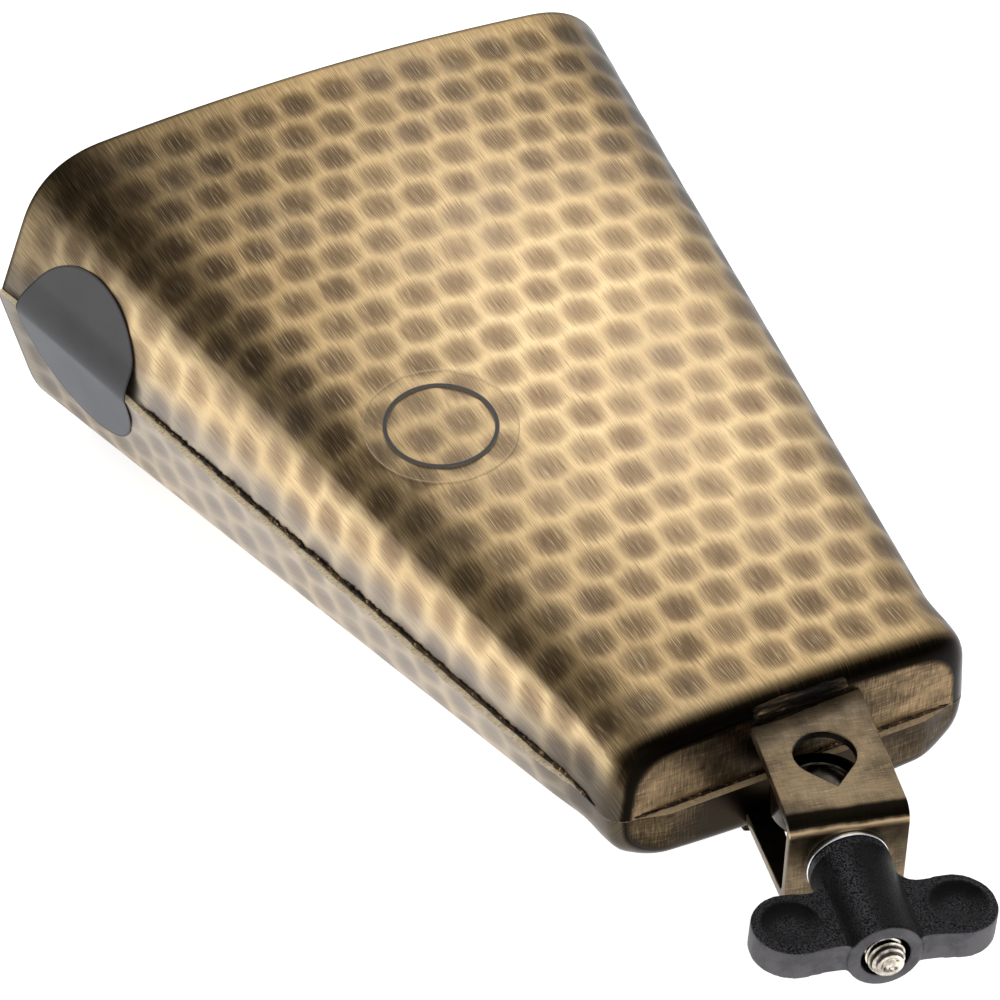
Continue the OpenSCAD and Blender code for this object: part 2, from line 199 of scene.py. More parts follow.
class Finish:
    """A material under construction, or the world's light."""

    def __init__(self, name, world=None):
        self.material = world or bpy.data.materials.new(name)
        self.material.use_nodes = True
        self.tree = self.material.node_tree
        self.tree.nodes.clear()

    def node(self, kind, settings=None, sockets=None, out=0):
        made = self.tree.nodes.new(kind)
        for name, value in (settings or {}).items():
            setattr(made, name, value)
        for key, value in (sockets or {}).items():
            if isinstance(value, Value):
                self.tree.links.new(value.socket, made.inputs[key])
            else:
                made.inputs[key].default_value = value
        return Value(self, made.outputs[out] if made.outputs else None)

    def attribute(self, name, out="Fac"):
        return self.node("ShaderNodeAttribute", {"attribute_name": name}, out=out)

    def places(self):
        """Object coordinates, which ride with the piece."""
        return self.node("ShaderNodeTexCoord", out="Object")

    def part(self, vector, axis):
        """One of a vector's three numbers, X, Y or Z."""
        return self.node("ShaderNodeSeparateXYZ", None, {0: vector}, out=axis)

    def length(self, vector):
        return self.node("ShaderNodeVectorMath", {"operation": "LENGTH"}, {0: vector}, out="Value")

    def ray(self, kind):
        """1 where the surface is met by this kind of ray, else 0."""
        return self.node("ShaderNodeLightPath", out=f"Is {kind} Ray")

    def stretch(self, places, factors, turn=(0, 0, 0)):
        return self.node("ShaderNodeMapping", {"vector_type": "POINT"},
                         {"Vector": places, "Rotation": turn, "Scale": factors})

    def noise(self, places, scale=1.0, detail=2.0, roughness=0.5):
        return self.node("ShaderNodeTexNoise", None,
                         {"Vector": places, "Scale": scale, "Detail": detail, "Roughness": roughness})

    def fade(self, value, low, high, start=0.0, end=1.0):
        """start below low, end above high and a smooth change between."""
        return self.node("ShaderNodeMapRange", {"interpolation_type": "SMOOTHSTEP"},
                         {"Value": value, "From Min": low, "From Max": high,
                          "To Min": start, "To Max": end})

    def band(self, value, limits, start=0.0, end=1.0):
        """A fade between two limits that are given in millimetres."""
        return self.fade(value, limits[0] * MM, limits[1] * MM, start, end)

    def mix(self, factor, first, second):
        """The first colour where factor is 0 and the second where it is 1."""
        return self.node("ShaderNodeMix", {"data_type": "RGBA"}, {0: factor, 6: first, 7: second}, out=2)

    def bump(self, height, strength, distance):
        return self.node("ShaderNodeBump", None,
                         {"Height": height, "Strength": strength, "Distance": distance})

    def shine(self, **sockets):
        """The shader itself. Underscores in the names stand for spaces."""
        named = {key.replace("_", " "): value for key, value in sockets.items()}
        shader = self.node("ShaderNodeBsdfPrincipled", None, named)
        self.node("ShaderNodeOutputMaterial", None, {"Surface": shader})
        return self.material


def paint(red, green, blue):
    """A colour as a picture editor gives it, 0 to 255, turned into Blender's linear light."""
    parts = [c / 255 for c in (red, green, blue)]
    return (*[c / 12.92 if c <= 0.04045 else ((c + 0.055) / 1.055) ** 2.4 for c in parts], 1)


print("pale gold in linear light:", [round(c, 3) for c in paint(236, 210, 166)[:3]])

# %% [markdown]
# ## Finishing a piece
#
# Every piece ends the same way.

# %% One way to finish a piece
SHARP = math.radians(38)


def finish_piece(name, bm, finishes, body, stands_for, merge=0.01 * MM, turn_out=True):
    if merge:
        bmesh.ops.remove_doubles(bm, verts=bm.verts, dist=merge)
    if turn_out:
        bmesh.ops.recalc_face_normals(bm, faces=bm.faces)
    for face in bm.faces:
        face.smooth = True
    mesh = bpy.data.meshes.new(name)
    bm.to_mesh(mesh)
    bm.free()
    mesh.set_sharp_from_angle(angle=SHARP)
    piece = bpy.data.objects.new(name, mesh)
    scene.collection.objects.link(piece)
    for finish in finishes:
        mesh.materials.append(finish)
    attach(piece, body)
    if stands_for:
        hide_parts(*stands_for)
    print(f"{name}: {len(mesh.polygons)} faces")
    return piece


def shaped_by(bm, modifiers):
    """The bmesh after some modifiers, each given as (type, settings).

    The empty material slots are there because a modifier numbers finishes no higher than it finds slots.
    """
    mesh = bpy.data.meshes.new("shaping")
    bm.to_mesh(mesh)
    bm.free()
    for _ in range(4):
        mesh.materials.append(None)
    holder = bpy.data.objects.new("shaping", mesh)
    scene.collection.objects.link(holder)
    for kind, settings in modifiers:
        modifier = holder.modifiers.new(kind, kind)
        for setting, value in settings.items():
            setattr(modifier, setting, value)
    shaped = bmesh.new()
    shaped.from_object(holder, bpy.context.evaluated_depsgraph_get())
    bpy.data.objects.remove(holder)
    return shaped


def smoothstep(value, low, high):
    t = min(1, max(0, (value - low) / (high - low)))
    return t * t * (3 - 2 * t)


print("edges sharper than", round(math.degrees(SHARP)), "degrees stay sharp")

# %% [markdown]
# ## The bell's sizes
#
# The shells are described as the CAD source describes them: by a seam width, a
# face width, a depth, the rise of the crown and the reach of the corner curve,
# at the mouth and at the closed end. Anything between is a blend of the two.

# %% Bell sizes
BELL_LENGTH, WALL, SEAM_LIP, WIDER_LIP = 203.0, 1.6, 1.2, 0.5
LIP_WIDENS, LIP_TUCK, LIP_TUCKS_IN = (30, 70), 0.4, (BELL_LENGTH - 24, BELL_LENGTH - 5)
END_FLARE, FLARE_LENGTH = 1.4, 14.0
CORNER_STEPS, CROWN_STEPS = 12, 10
FRONT = {"mouth": (76.2, 66.5, 29.9, 3.9, 14.0), "closed": (38.9, 37.7, 16.6, 2.0, 8.0),
         "length": BELL_LENGTH, "roll": 4.0, "side": 1}
BACK = {"mouth": (76.2 + SEAM_LIP, 66.5, 38.4, 3.9, 14.0),
        "closed": (38.9 + SEAM_LIP, 37.7, 10.2, 2.0, 8.0),
        "length": BELL_LENGTH + SEAM_LIP + WIDER_LIP, "roll": 3.0, "side": -1}
MOUTH = Vector((-215.4, 1.7, -1.9))


def bell_place(x, y, z):
    """A place given from the middle of the mouth's seam, in mm, in the row frame."""
    return (MOUTH + Vector((x, y, z))) * MM


def shell_sizes(shell, x):
    return [a + (b - a) * x / shell["length"] for a, b in zip(shell["mouth"], shell["closed"])]


def flare(shell, x):
    """How much the closed end's rim has widened at x."""
    start = shell["length"] - shell["roll"] - FLARE_LENGTH
    return END_FLARE * smoothstep(x, start, start + FLARE_LENGTH)


def outline(shell, x, inset):
    """A shell's cross section as points (y, z), from one foot over the crown to the other.

    The back shell's rim stands out as a lip, which tucks in again under the end seam.
    """
    seam, face, depth, crown, corner = shell_sizes(shell, x)
    grown = flare(shell, x)
    if shell["side"] < 0:
        wider = WIDER_LIP * smoothstep(x, *LIP_WIDENS)
        seam += wider - (SEAM_LIP + wider + LIP_TUCK) * smoothstep(x, *LIP_TUCKS_IN)
    seam, face, depth = seam + grown - inset, face + grown - inset, depth + grown / 2 - inset
    shoulder, foot = Vector((face, depth)), Vector((seam, 0))
    side = shoulder - foot
    side_end = shoulder - side.normalized() * min(corner, 0.8 * side.length)
    crown_y = face - corner / math.hypot(1, 2 * crown / face)
    crown_end = Vector((crown_y, depth + crown * (1 - (crown_y / face) ** 2)))
    right = [foot]
    for step in range(CORNER_STEPS + 1):
        t = step / CORNER_STEPS
        right.append(side_end * (1 - t) ** 2 + shoulder * 2 * t * (1 - t) + crown_end * t * t)
    for step in range(1, CROWN_STEPS + 1):
        y = crown_y * (1 - step / CROWN_STEPS)
        right.append(Vector((y, depth + crown * (1 - (y / face) ** 2))))
    return right + [Vector((-p.x, p.y)) for p in reversed(right[:-1])]


def walk(points, shares):
    """The points at given shares of a polyline's length, and that length."""
    reached = [0.0]
    for a, b in zip(points, points[1:]):
        reached.append(reached[-1] + (b - a).length)
    found, leg = [], 0
    for share in shares:
        target = share * reached[-1]
        while leg < len(points) - 2 and reached[leg + 1] < target:
            leg += 1
        span = reached[leg + 1] - reached[leg]
        found.append(points[leg].lerp(points[leg + 1], (target - reached[leg]) / span))
    return found, reached[-1]


print("mouth outline length:", round(walk(outline(FRONT, 0, 0), [1])[1], 1), "mm")

# %% [markdown]
# ## The hammer's marks
#
# The hammer struck the sheet in rows across the bell, every other row moved by
# half a step, and no blow landed quite where it should. Each blow left a shallow
# hollow, and where hollows meet a soft ridge stands between them. The marks are
# real shape, because a bump in the finish alone would leave the rim and the
# outline as straight as on a new sheet.
#
# All blows go into a tree that quickly finds the nearest one to any place on the
# flat sheet. A mark is a square with well rounded corners, as the hammer's face
# was, so its place is measured between a circle's way and a square's way.

# %% Hammer blows
ROW_STEP, BLOW_STEP = 9.17, 9.55
FIRST_ROW, LAST_ROW = 8.3, 196.0
ROWS = int((LAST_ROW - FIRST_ROW) / ROW_STEP) + 1
ROW_STRAY, STRAY_ALONG, STRAY_ACROSS = 0.16, 1.1, 1.2
# noise_vector reads offsets that Blender takes from the clock, unless they are given a seed.
noise.seed_set(1)
BLOW_DEPTH, BLOW_REACH = 0.3, 5.6
SHEET_HALF_WIDTH = 112.0


def hammer_blows(seed):
    """Where the hammer struck the flat sheet. The seed makes each shell's blows stray its own way."""
    across = int(SHEET_HALF_WIDTH / BLOW_STEP)
    blows = kdtree.KDTree(ROWS * (2 * across + 1))
    for row in range(ROWS):
        shift = (row % 2) / 2 + ROW_STRAY * noise.noise(Vector((row * 1.7, seed, 0)))
        for number in range(-across, across + 1):
            stray = noise.noise_vector(Vector((row * 3.1, number * 2.3, seed)))
            blows.insert(Vector((FIRST_ROW + row * ROW_STEP + STRAY_ALONG * stray.x,
                                 (number + shift) * BLOW_STEP + STRAY_ACROSS * stray.y, 0)), 0)
    blows.balance()
    return blows


def hammer_mark(blows, along, across):
    """(depth in mm, place in the mark, the blow's own weight): place is 0 in a mark's middle."""
    centre, _, near = blows.find(Vector((along, across, 0)))
    hollow = max(0, 1 - (near / BLOW_REACH) ** 2)
    aside, ahead = abs(across - centre.y) / BLOW_STEP * 2, abs(along - centre.x) / ROW_STEP * 2
    place = (ahead ** 2.5 + aside ** 2.5) ** 0.4
    return BLOW_DEPTH * hollow, min(1.3, place), noise.noise(centre * 0.37)


print("rows of blows:", ROWS)

# %% [markdown]
# ## Where the stain and the painted shade lie
#
# The dark stain was brushed off where the brush could reach, and painted shade
# is laid in the same value. Stain and painted shade darken the rolled edges and the
# left corner. Painted shade alone darkens the face towards the mouth and the closed
# end, the right corner and the crease along the seam, and a painted shadow of the
# bracket lies on the end wall. Each of these places is a smoothstep between two
# distances in millimetres. The strongest of them counts, and the darkening by the
# mouth comes on top. Two more functions say where the marks are pale, from wear
# and from a painted highlight, and where a grey-blue tint lies.

# %% Stain, painted shade, wear, painted highlight and tint
def stain_and_shade(shell, x, place, turn, on_wall):
    """How dark the old bronze stain and the painted shade are, from 0 to 1, at a place on a shell."""
    _, face, depth, _, _ = shell_sizes(shell, x)
    front = shell["side"] > 0
    on_top = smoothstep(place.y, 0.3 * depth, 0.95 * depth) if front else 0
    if on_wall:
        # Painted shadow of the bracket on the end wall, wider on its left. The lower shell's part of the
        # wall is darker.
        bracket_shadow = 0.5 * (1 - smoothstep(abs(place.x - 1.7), 10, 32 if place.x < 1.7 else 20))
        return (0.28 if front else 0.74) + bracket_shadow
    from_edge, to_end = face - abs(place.x), shell["length"] - x
    # Painted shade: darker towards the closed end, across the top and down the sides.
    top_end = 0.3 * (1 - smoothstep(to_end, 6, 20)) + 0.7 * (1 - smoothstep(to_end, 1, 6))
    side_end = 0.78 * (1 - smoothstep(to_end, 2, 60))
    by_end = side_end + (top_end - side_end) * on_top
    # Left corner: stain and painted shade. Right corner: painted shade.
    if place.x < 0:
        corner = 0.66 * smoothstep(from_edge, -2, 3) * (1 - smoothstep(from_edge, 4, 20))
    else:
        corner = 0.5 * (1 - smoothstep(from_edge, -1, 4)) + 0.5 * (1 - smoothstep(from_edge, 2, 17))
        corner *= smoothstep(place.y, 0.3 * depth, 0.7 * depth)
    # Painted shade: darker towards the mouth, most on the left.
    by_mouth = (1 - smoothstep(x, 0, 90)) * (0.76 - 0.4 * smoothstep(place.x, -60, 10))
    # Painted shade in the crease along the seam.
    seam_reach = 1.8 + 5 * smoothstep(x, 80, 160)
    by_seam = (1 - smoothstep(place.y, 0.5, seam_reach)) * 0.4 if front else 0
    rim = 0.7 * (1 - smoothstep(x, 0, 1))
    # Stain and painted shade on the rolled edges.
    rolled = smoothstep(turn, 0.3 - 0.15 * on_top, 0.7)
    return 1 - (1 - max(by_end, corner, by_seam, rim, rolled)) * (1 - 0.85 * by_mouth)


def rub_and_sheen(shell, x, y, on_face):
    """How pale the marks are: worn pale on the sides, and in the middle of the front face a painted
    highlight.
    """
    if shell["side"] < 0:
        return 0.75
    if not on_face:
        return 1
    return 1 - smoothstep(math.hypot((x - 105) / 105, (y - 14) / 60), 0.15, 1.15)


def grey_blue_tint(shell, place):
    """A grey-blue tint: a band over the seam, and the lower shell's sides."""
    if shell["side"] > 0:
        return 0.6 * (1 - smoothstep(place.y, 2, 12))
    return 0.5 * (1 - smoothstep(place.y, 16, 34))


print("stain on the end wall by the bracket:", stain_and_shade(FRONT, BELL_LENGTH, Vector((1.7, 0)), 1, True))

# %% [markdown]
# ## Laying the sheet on the bell
#
# The real shell was pressed from a flat sheet, so the model does the same. Each
# vertex of a flat grid is carried to its place on the bell: along the body, round
# the rolled edge and down the end wall.
#
# Some values are kept on every vertex for the finish to read: its place on the
# flat sheet, which the brush strokes follow, its place in a hammer mark and that
# blow's own weight, how much dark stain and painted shade lies there, how pale
# the marks are from wear and from a painted highlight, and a grey-blue tint by the
# seam and on the lower shell's sides.

# %% Laying the sheet
ALONG_STEPS, ACROSS_STEPS = 205, 184
END_REACH = 13.0
NO_MARK = 1.3


def lay_on_bell(bm, shell, blows):
    """Carries a flat grid to the bell. Returns how deep the hammer drove each vertex."""
    length, roll, side = shell["length"], shell["roll"], shell["side"]
    straight, arc = length - roll, roll * math.pi / 2
    path = straight + arc + END_REACH
    half_end = 0.85 * (shell_sizes(shell, length)[0] + END_FLARE - roll)
    sheet = bm.verts.layers.float_vector.new("sheet")
    mark, blow, dark, wear_and_sheen, tint, on_wall = [bm.verts.layers.float.new(value) for value in
                                             ("mark", "blow", "stain_and_shade", "wear_and_sheen", "tint", "wall")]
    columns = {}
    for vert in bm.verts:
        columns.setdefault(round((vert.co.x + 0.5) * ALONG_STEPS), []).append(vert)
    struck = {}
    for column, verts in columns.items():
        verts.sort(key=lambda v: v.co.y)
        shares = [v.co.y + 0.5 for v in verts]
        gone = column / ALONG_STEPS * path
        turn = min(1, max(0, (gone - straight) / arc)) * math.pi / 2
        x = min(gone, straight) + roll * math.sin(turn)
        places, width = walk(outline(shell, x, roll * (1 - math.cos(turn))), shares)
        wall = max(0, (gone - straight - arc) / END_REACH)
        _, face, depth, _, _ = shell_sizes(shell, x)
        on_body = 1 - smoothstep(x, LAST_ROW, LAST_ROW + 2)
        for vert, share, place in zip(verts, shares, places):
            across = (share - 0.5) * width
            spot = place.lerp(Vector((half_end * (1 - 2 * share), 0)), wall)
            behind = (SEAM_LIP + WIDER_LIP) * smoothstep(abs(spot.x), 28, 37) \
                * smoothstep(x, length - 10, length - 4)
            vert.co = bell_place(x - (behind if side < 0 else 0), spot.x, side * spot.y)
            dent, ring, weight = hammer_mark(blows, gone, across)
            calm = smoothstep(abs(face - abs(place.x)), -1, 6)
            struck[vert] = dent * on_body * calm * MM
            vert[sheet] = Vector((gone, across, 0)) * MM
            vert[mark] = NO_MARK - (NO_MARK - ring) * on_body
            vert[blow] = weight
            vert[on_wall] = wall
            vert[dark] = stain_and_shade(shell, x, spot if wall else place, turn / (math.pi / 2), wall > 0)
            vert[tint] = grey_blue_tint(shell, place)
            vert[wear_and_sheen] = rub_and_sheen(shell, x, place.x, place.y > depth * 0.8)
    return struck


print("grid on each shell:", ALONG_STEPS, "by", ACROSS_STEPS)

# %% [markdown]
# ## Pressing a half shell
#
# Now each vertex is pushed in as deep as the hammer drove it, and Solidify gives
# the sheet its thickness. Solidify also numbers the finishes: 0 stays outside, 1
# goes inside and 2 on the cut edge. The end wall then gets a fourth finish, and
# the rim of the mouth the outer one again, since it was stained like the outside.

# %% Half shells
OUTSIDE, INSIDE, CUT_EDGE, END_WALL = range(4)


def press_shell(name, shell, seed, stands_for, finishes):
    side = shell["side"]
    bm = bmesh.new()
    bmesh.ops.create_grid(bm, x_segments=ALONG_STEPS, y_segments=ACROSS_STEPS, size=0.5)
    struck = lay_on_bell(bm, shell, hammer_blows(seed))
    bm.normal_update()
    crown = bell_place(shell["length"] / 2, 0, side * 25)
    nearest = min(bm.verts, key=lambda vert: (vert.co - crown).length)
    if nearest.normal.z * side < 0:
        bmesh.ops.reverse_faces(bm, faces=bm.faces)
        bm.normal_update()
    for vert, dent in struck.items():
        vert.co = vert.co - vert.normal * dent
    bm = shaped_by(bm, [("SOLIDIFY", {"thickness": WALL * MM, "offset": -1, "use_even_offset": False,
                                      "material_offset": INSIDE, "material_offset_rim": CUT_EDGE})])
    rim, seam = MOUTH.x * MM, MOUTH.z * MM
    for vert in bm.verts:
        vert.co.x = max(vert.co.x, rim)
        vert.co.z = max(vert.co.z, seam) if side > 0 else min(vert.co.z, seam)
    on_wall = bm.verts.layers.float["wall"]
    for face in bm.faces:
        if face.material_index == OUTSIDE and max(v[on_wall] for v in face.verts) > 0:
            face.material_index = END_WALL
        elif face.material_index == CUT_EDGE and face.calc_center_median().x < rim + 0.01 * MM:
            face.material_index = OUTSIDE
    return finish_piece(name, bm, finishes, "bell", stands_for,
                        merge=0, turn_out=False)


print("finishes on each shell:", END_WALL + 1)

# %% [markdown]
# ## Old bronze
#
# The plated steel was stained dark all over, then brushed along its length. The
# brush took the stain off the ridges and left it in the hammer's hollows, so a
# pale gold net runs round soft grey-brown spots, and everything carries fine
# straight scratches. The scratches are noise stretched along the sheet, read from
# the flat sheet's own coordinates so that they follow the bell round its corners.

# %% Hammered bronze
PALE_GOLD, DEEP_GOLD, DULL_GOLD = paint(238, 211, 164), paint(220, 191, 144), paint(186, 157, 112)
DARK_SPOT, DARK_CORE = paint(130, 106, 75), paint(92, 74, 55)
# Pale spot colours: where the marks are worn or lie in the painted highlight.
PALE_SPOT, PALE_CORE = paint(196, 168, 131), paint(160, 134, 106)
# The dark brown and the near black serve both stain and painted shade.
SHADE_AND_STAIN_BROWN, NEAR_BLACK, GREY_BLUE = paint(40, 31, 18), paint(8, 6, 4), paint(142, 145, 150)


def brushed(finish, sheet, along, across, detail=3.0):
    """Long fine scratches: noise pulled out along the brush's way."""
    return finish.noise(finish.stretch(sheet, (along, across, 1)), 1.0, detail, 0.62)


def hammered_bronze():
    f = Finish("hammered_bronze")
    sheet = f.attribute("sheet", "Vector")
    scratches = brushed(f, sheet, 90, 3000, 2.0)
    hairs = brushed(f, sheet, 190, 4600, 1.0)
    clouds = f.noise(sheet, 26, 3, 0.55)
    grain = scratches * 0.36 + hairs * 0.64
    edge = f.attribute("mark") + (grain - 0.5) * 0.12 + (clouds - 0.5) * 0.16
    weight = f.attribute("blow")
    in_spot = f.fade(edge, 0.55, 1.16, 1, 0) * (0.92 + weight * 0.2)
    in_core = f.fade(edge + weight * -0.16, 0.1, 0.9, 1, 0)
    # The wear value holds wear, and in the front face's middle a painted highlight that pales the marks.
    wear = f.attribute("wear_and_sheen") + (clouds - 0.5) * 0.5
    gold = f.mix(wear, DULL_GOLD, f.mix(f.fade(clouds, 0.36, 0.66), PALE_GOLD, DEEP_GOLD))
    spots = f.mix(wear, f.mix(in_core, DARK_SPOT, DARK_CORE), f.mix(in_core, PALE_SPOT, PALE_CORE))
    colour = f.mix(in_spot, gold, spots)
    light_scratch = f.mix(f.fade(grain, 0.5, 0.68) * 0.38, colour, paint(248, 223, 176))
    dark_scratch = f.mix(f.fade(grain, 0.33, 0.49, 0.48, 0), light_scratch, paint(80, 66, 47))
    # A grey-blue tint over the seam and on the lower shell's sides.
    tinted = f.mix(f.attribute("tint") + (clouds - 0.5) * 0.5, dark_scratch, GREY_BLUE)
    # The dark value is stain and painted shade together.
    stained_and_shaded = f.attribute("stain_and_shade") + (clouds - 0.5) * 0.24 - (grain - 0.5) * 0.3
    whole = f.mix(f.fade(stained_and_shaded, 0.1, 0.98), tinted, SHADE_AND_STAIN_BROWN)
    # Near black where stain and painted shade are heaviest: the rolled edges and the corners.
    whole = f.mix(f.fade(stained_and_shaded, 0.82, 1.0, 0, 0.9), whole, NEAR_BLACK)
    dull = 0.33 + in_spot * 0.1 + (grain - 0.5) * 0.2
    relief = f.bump(grain, 0.16, 0.12 * MM)
    return f.shine(Base_Color=whole, Metallic=1.0, Roughness=dull, Normal=relief)


HAMMERED = hammered_bronze()
print("nodes in the outer finish:", len(HAMMERED.node_tree.nodes))

# %% [markdown]
# ## Inside, cut edge and end wall
#
# The inside was hardly brushed, so it is browner and duller. The cut edge is bare
# metal with the shears' fine teeth and a few dark crumbs, and it is duller on the
# end wall, where the back shell's edge lies. The end wall was brushed both up and
# along, which is two stretched noises added together.

# %% Inside, cut edge and end wall
def inside_bronze():
    f = Finish("inside_bronze")
    sheet = f.attribute("sheet", "Vector")
    scratches = brushed(f, sheet, 70, 1500)
    clouds = f.noise(sheet, 34, 4, 0.6)
    rub_and_sheen = f.fade(f.attribute("mark") + (clouds - 0.5) * 0.5, 0.3, 1)
    colour = f.mix(rub_and_sheen, paint(96, 80, 60), paint(150, 126, 92))
    streaked = f.mix(f.fade(scratches, 0.42, 0.6, 0.4, 0), colour, paint(52, 43, 32))
    return f.shine(Base_Color=streaked, Metallic=1.0, Roughness=0.46 + (scratches - 0.5) * 0.2,
                   Normal=f.bump(scratches, 0.2, 0.1 * MM))


def cut_edge():
    f = Finish("cut_sheet_edge")
    places = f.places()
    teeth = f.noise(f.stretch(places, (2600, 900, 900)), 1, 2, 0.6)
    crumbs = f.noise(places, 1500, 3, 0.7)
    pale = f.mix(f.fade(teeth, 0.36, 0.62), paint(232, 208, 168), paint(252, 238, 208))
    dull = f.mix(teeth, paint(156, 132, 101), paint(226, 198, 158))
    dulled = f.mix(f.fade(f.part(places, "X"), -26 * MM, -14 * MM), pale, dull)
    colour = f.mix(f.fade(crumbs, 0.3, 0.44, 0.55, 0), dulled, paint(96, 80, 60))
    return f.shine(Base_Color=colour, Metallic=0.1, Roughness=0.55,
                   Normal=f.bump(crumbs * 0.6 + teeth * 0.4, 0.5, 0.15 * MM))


def end_wall_bronze():
    f = Finish("end_wall_bronze")
    places = f.places()
    upright = f.noise(f.stretch(places, (1, 2600, 260)), 1, 3, 0.62)
    level = f.noise(f.stretch(places, (1, 170, 1900)), 1, 2, 0.6)
    clouds = f.noise(f.stretch(places, (1, 70, 130)), 1, 4, 0.62)
    grain = upright * 0.62 + level * 0.38
    bronze = f.mix(f.fade(clouds, 0.32, 0.7), paint(150, 126, 94), paint(98, 81, 60))
    light = f.mix(f.fade(grain, 0.5, 0.7) * 0.5, bronze, paint(198, 168, 126))
    dark = f.mix(f.fade(grain, 0.32, 0.5, 0.6, 0), light, paint(46, 37, 27))
    # The dark value is stain and painted shade, with the bracket's painted shadow.
    stained_and_shaded = f.attribute("stain_and_shade") + (clouds - 0.5) * 0.4 - (grain - 0.5) * 0.9
    whole = f.mix(f.fade(stained_and_shaded, 0.1, 0.95), dark, SHADE_AND_STAIN_BROWN)
    return f.shine(Base_Color=whole, Metallic=1.0, Roughness=0.36 + (grain - 0.5) * 0.2,
                   Normal=f.bump(grain, 0.2, 0.12 * MM))


FRONT_SEED, BACK_SEED = 11.0, 47.0
SHELL_FINISHES = [HAMMERED, inside_bronze(), cut_edge(), end_wall_bronze()]
hammered_front = press_shell("hammered_front", FRONT, FRONT_SEED, ["front_shell"], SHELL_FINISHES)
press_shell("hammered_back", BACK, BACK_SEED, ["back_shell"], SHELL_FINISHES)

# %% [markdown]
# ## Weld beads
#
# The two shells were welded along the seam by hand and hardly cleaned, so a
# ragged line of burnt metal lies in the corner over the lower shell's edge. A
# bead starts as a cylinder's skin laid along its path. Noise then swells and
# pinches each of its rings, and both ends run out to a point.

# %% Weld beads
BEAD_STEP = 0.45
SEAM_BEAD_R, END_BEAD_R = 0.26, 0.3
SEAM_BEAD_FROM, SEAM_BEAD_TO = 48.5, BELL_LENGTH - FRONT["roll"] - 2


def burnt_weld():
    f = Finish("burnt_weld")
    places = f.places()
    crumbs = f.noise(places, 900, 4, 0.68)
    drops = f.noise(places, 330, 2, 0.5)
    scorched = f.mix(f.fade(drops, 0.36, 0.66), paint(30, 24, 19), paint(74, 58, 42))
    colour = f.mix(f.fade(crumbs + (drops - 0.5) * 0.4, 0.56, 0.7) * 0.85, scorched, paint(204, 168, 118))
    return f.shine(Base_Color=colour, Metallic=0.85, Roughness=0.42,
                   Normal=f.bump(crumbs, 0.7, 0.3 * MM))


def weld_bead(name, path, radius, ragged, stands_for, finish, seed, rings=12, flat=1.0,
              grain=(0.9, 0.9, 0.9)):
    """A bead along path, a function from 0..1 to a place in mm and the two directions across it."""
    steps = max(24, int((path(1)[0] - path(0)[0]).length / BEAD_STEP))
    bm = bmesh.new()
    bmesh.ops.create_grid(bm, x_segments=steps, y_segments=rings, size=0.5)
    for vert in bm.verts:
        share, angle = vert.co.x + 0.5, (vert.co.y + 0.5) * 2 * math.pi
        middle, out, up = path(share)
        across = math.cos(angle) * out + math.sin(angle) * flat * up
        spot = (middle + across * radius) * Vector(grain) + Vector((seed, 0, 0))
        rough = noise.fractal(spot, 0.9, 2.1, 4)
        run_out = math.sqrt(max(0, 1 - abs(2 * share - 1) ** 14))
        vert.co = (MOUTH + middle + across * (radius * (1 + ragged * rough)) * run_out) * MM
    return finish_piece(name, bm, [finish], "bell", stands_for, merge=0.004 * MM)


def side_path(side):
    """In the corner between the front shell's foot and the lip, on the left (-1) or the right (1)."""
    def at(share):
        x = SEAM_BEAD_FROM + (SEAM_BEAD_TO - SEAM_BEAD_FROM) * share
        foot = shell_sizes(FRONT, x)[0] + flare(FRONT, x)
        return Vector((x, side * (foot + 0.02), 0.62)), Y_AXIS * side, Z_AXIS
    return at


def end_path(share):
    half = FRONT["closed"][0] + END_FLARE - FRONT["roll"]
    return Vector((BELL_LENGTH, half * (1 - 2 * share), 0.5)), X_AXIS, Z_AXIS


SCORCHED = burnt_weld()
weld_bead("left_seam_bead", side_path(-1), SEAM_BEAD_R, 1.1, ["left_seam_weld"], SCORCHED, 3, flat=1.5)
weld_bead("right_seam_bead", side_path(1), SEAM_BEAD_R, 1.1, ["right_seam_weld"], SCORCHED, 8, flat=1.5)
weld_bead("end_seam_bead", end_path, END_BEAD_R, 1.0, ["end_seam_weld"], SCORCHED, 21, flat=1.3)

# %% [markdown]
# ## The bracket
#
# A strip of steel bent twice makes a fork whose two legs are welded to the end
# wall. The legs are unequal: the upper one runs nearly straight along the bolt,
# and the lower one leans away from it.
#
# It is made here as it was in the workshop: an edge as wide as the strip is
# pulled out for the first leg, spun about the bend's centre, pulled down the
# front wall, spun again and pulled out for the second leg.

# %% Bent strip
BRACKET_W, BRACKET_T, BEND_R = 24.0, 2.2, 3.6
UPPER_H, UPPER_SPREAD = 11.68, math.radians(0.4)
LOWER_H, LOWER_SPREAD = 9.5, math.radians(5.4)
ROD_TO_WALL, ROD_TO_BELL = 18.3, 12.4
CLAMP_ANGLE = math.radians(15)
CLAMP_TURN = Matrix.Rotation(-CLAMP_ANGLE, 4, "Z")
BEND_STEPS = 8


def clamp_place(x, y, z):
    """A place given in mm from the rod's middle, with the bolt along x, in the row frame."""
    return CLAMP_TURN @ (Vector((x, y, z)) * MM)


def leg_of(front_h, spread):
    """In x and height: where a leg's bend turns, where the straight leg begins and which way it runs."""
    turn = Vector((ROD_TO_WALL - BEND_R,
                   front_h - BEND_R * (1 - math.sin(spread)) / math.cos(spread)))
    touch = turn + Vector((math.sin(spread), math.cos(spread))) * BEND_R
    return turn, touch, Vector((-math.cos(spread), math.sin(spread)))


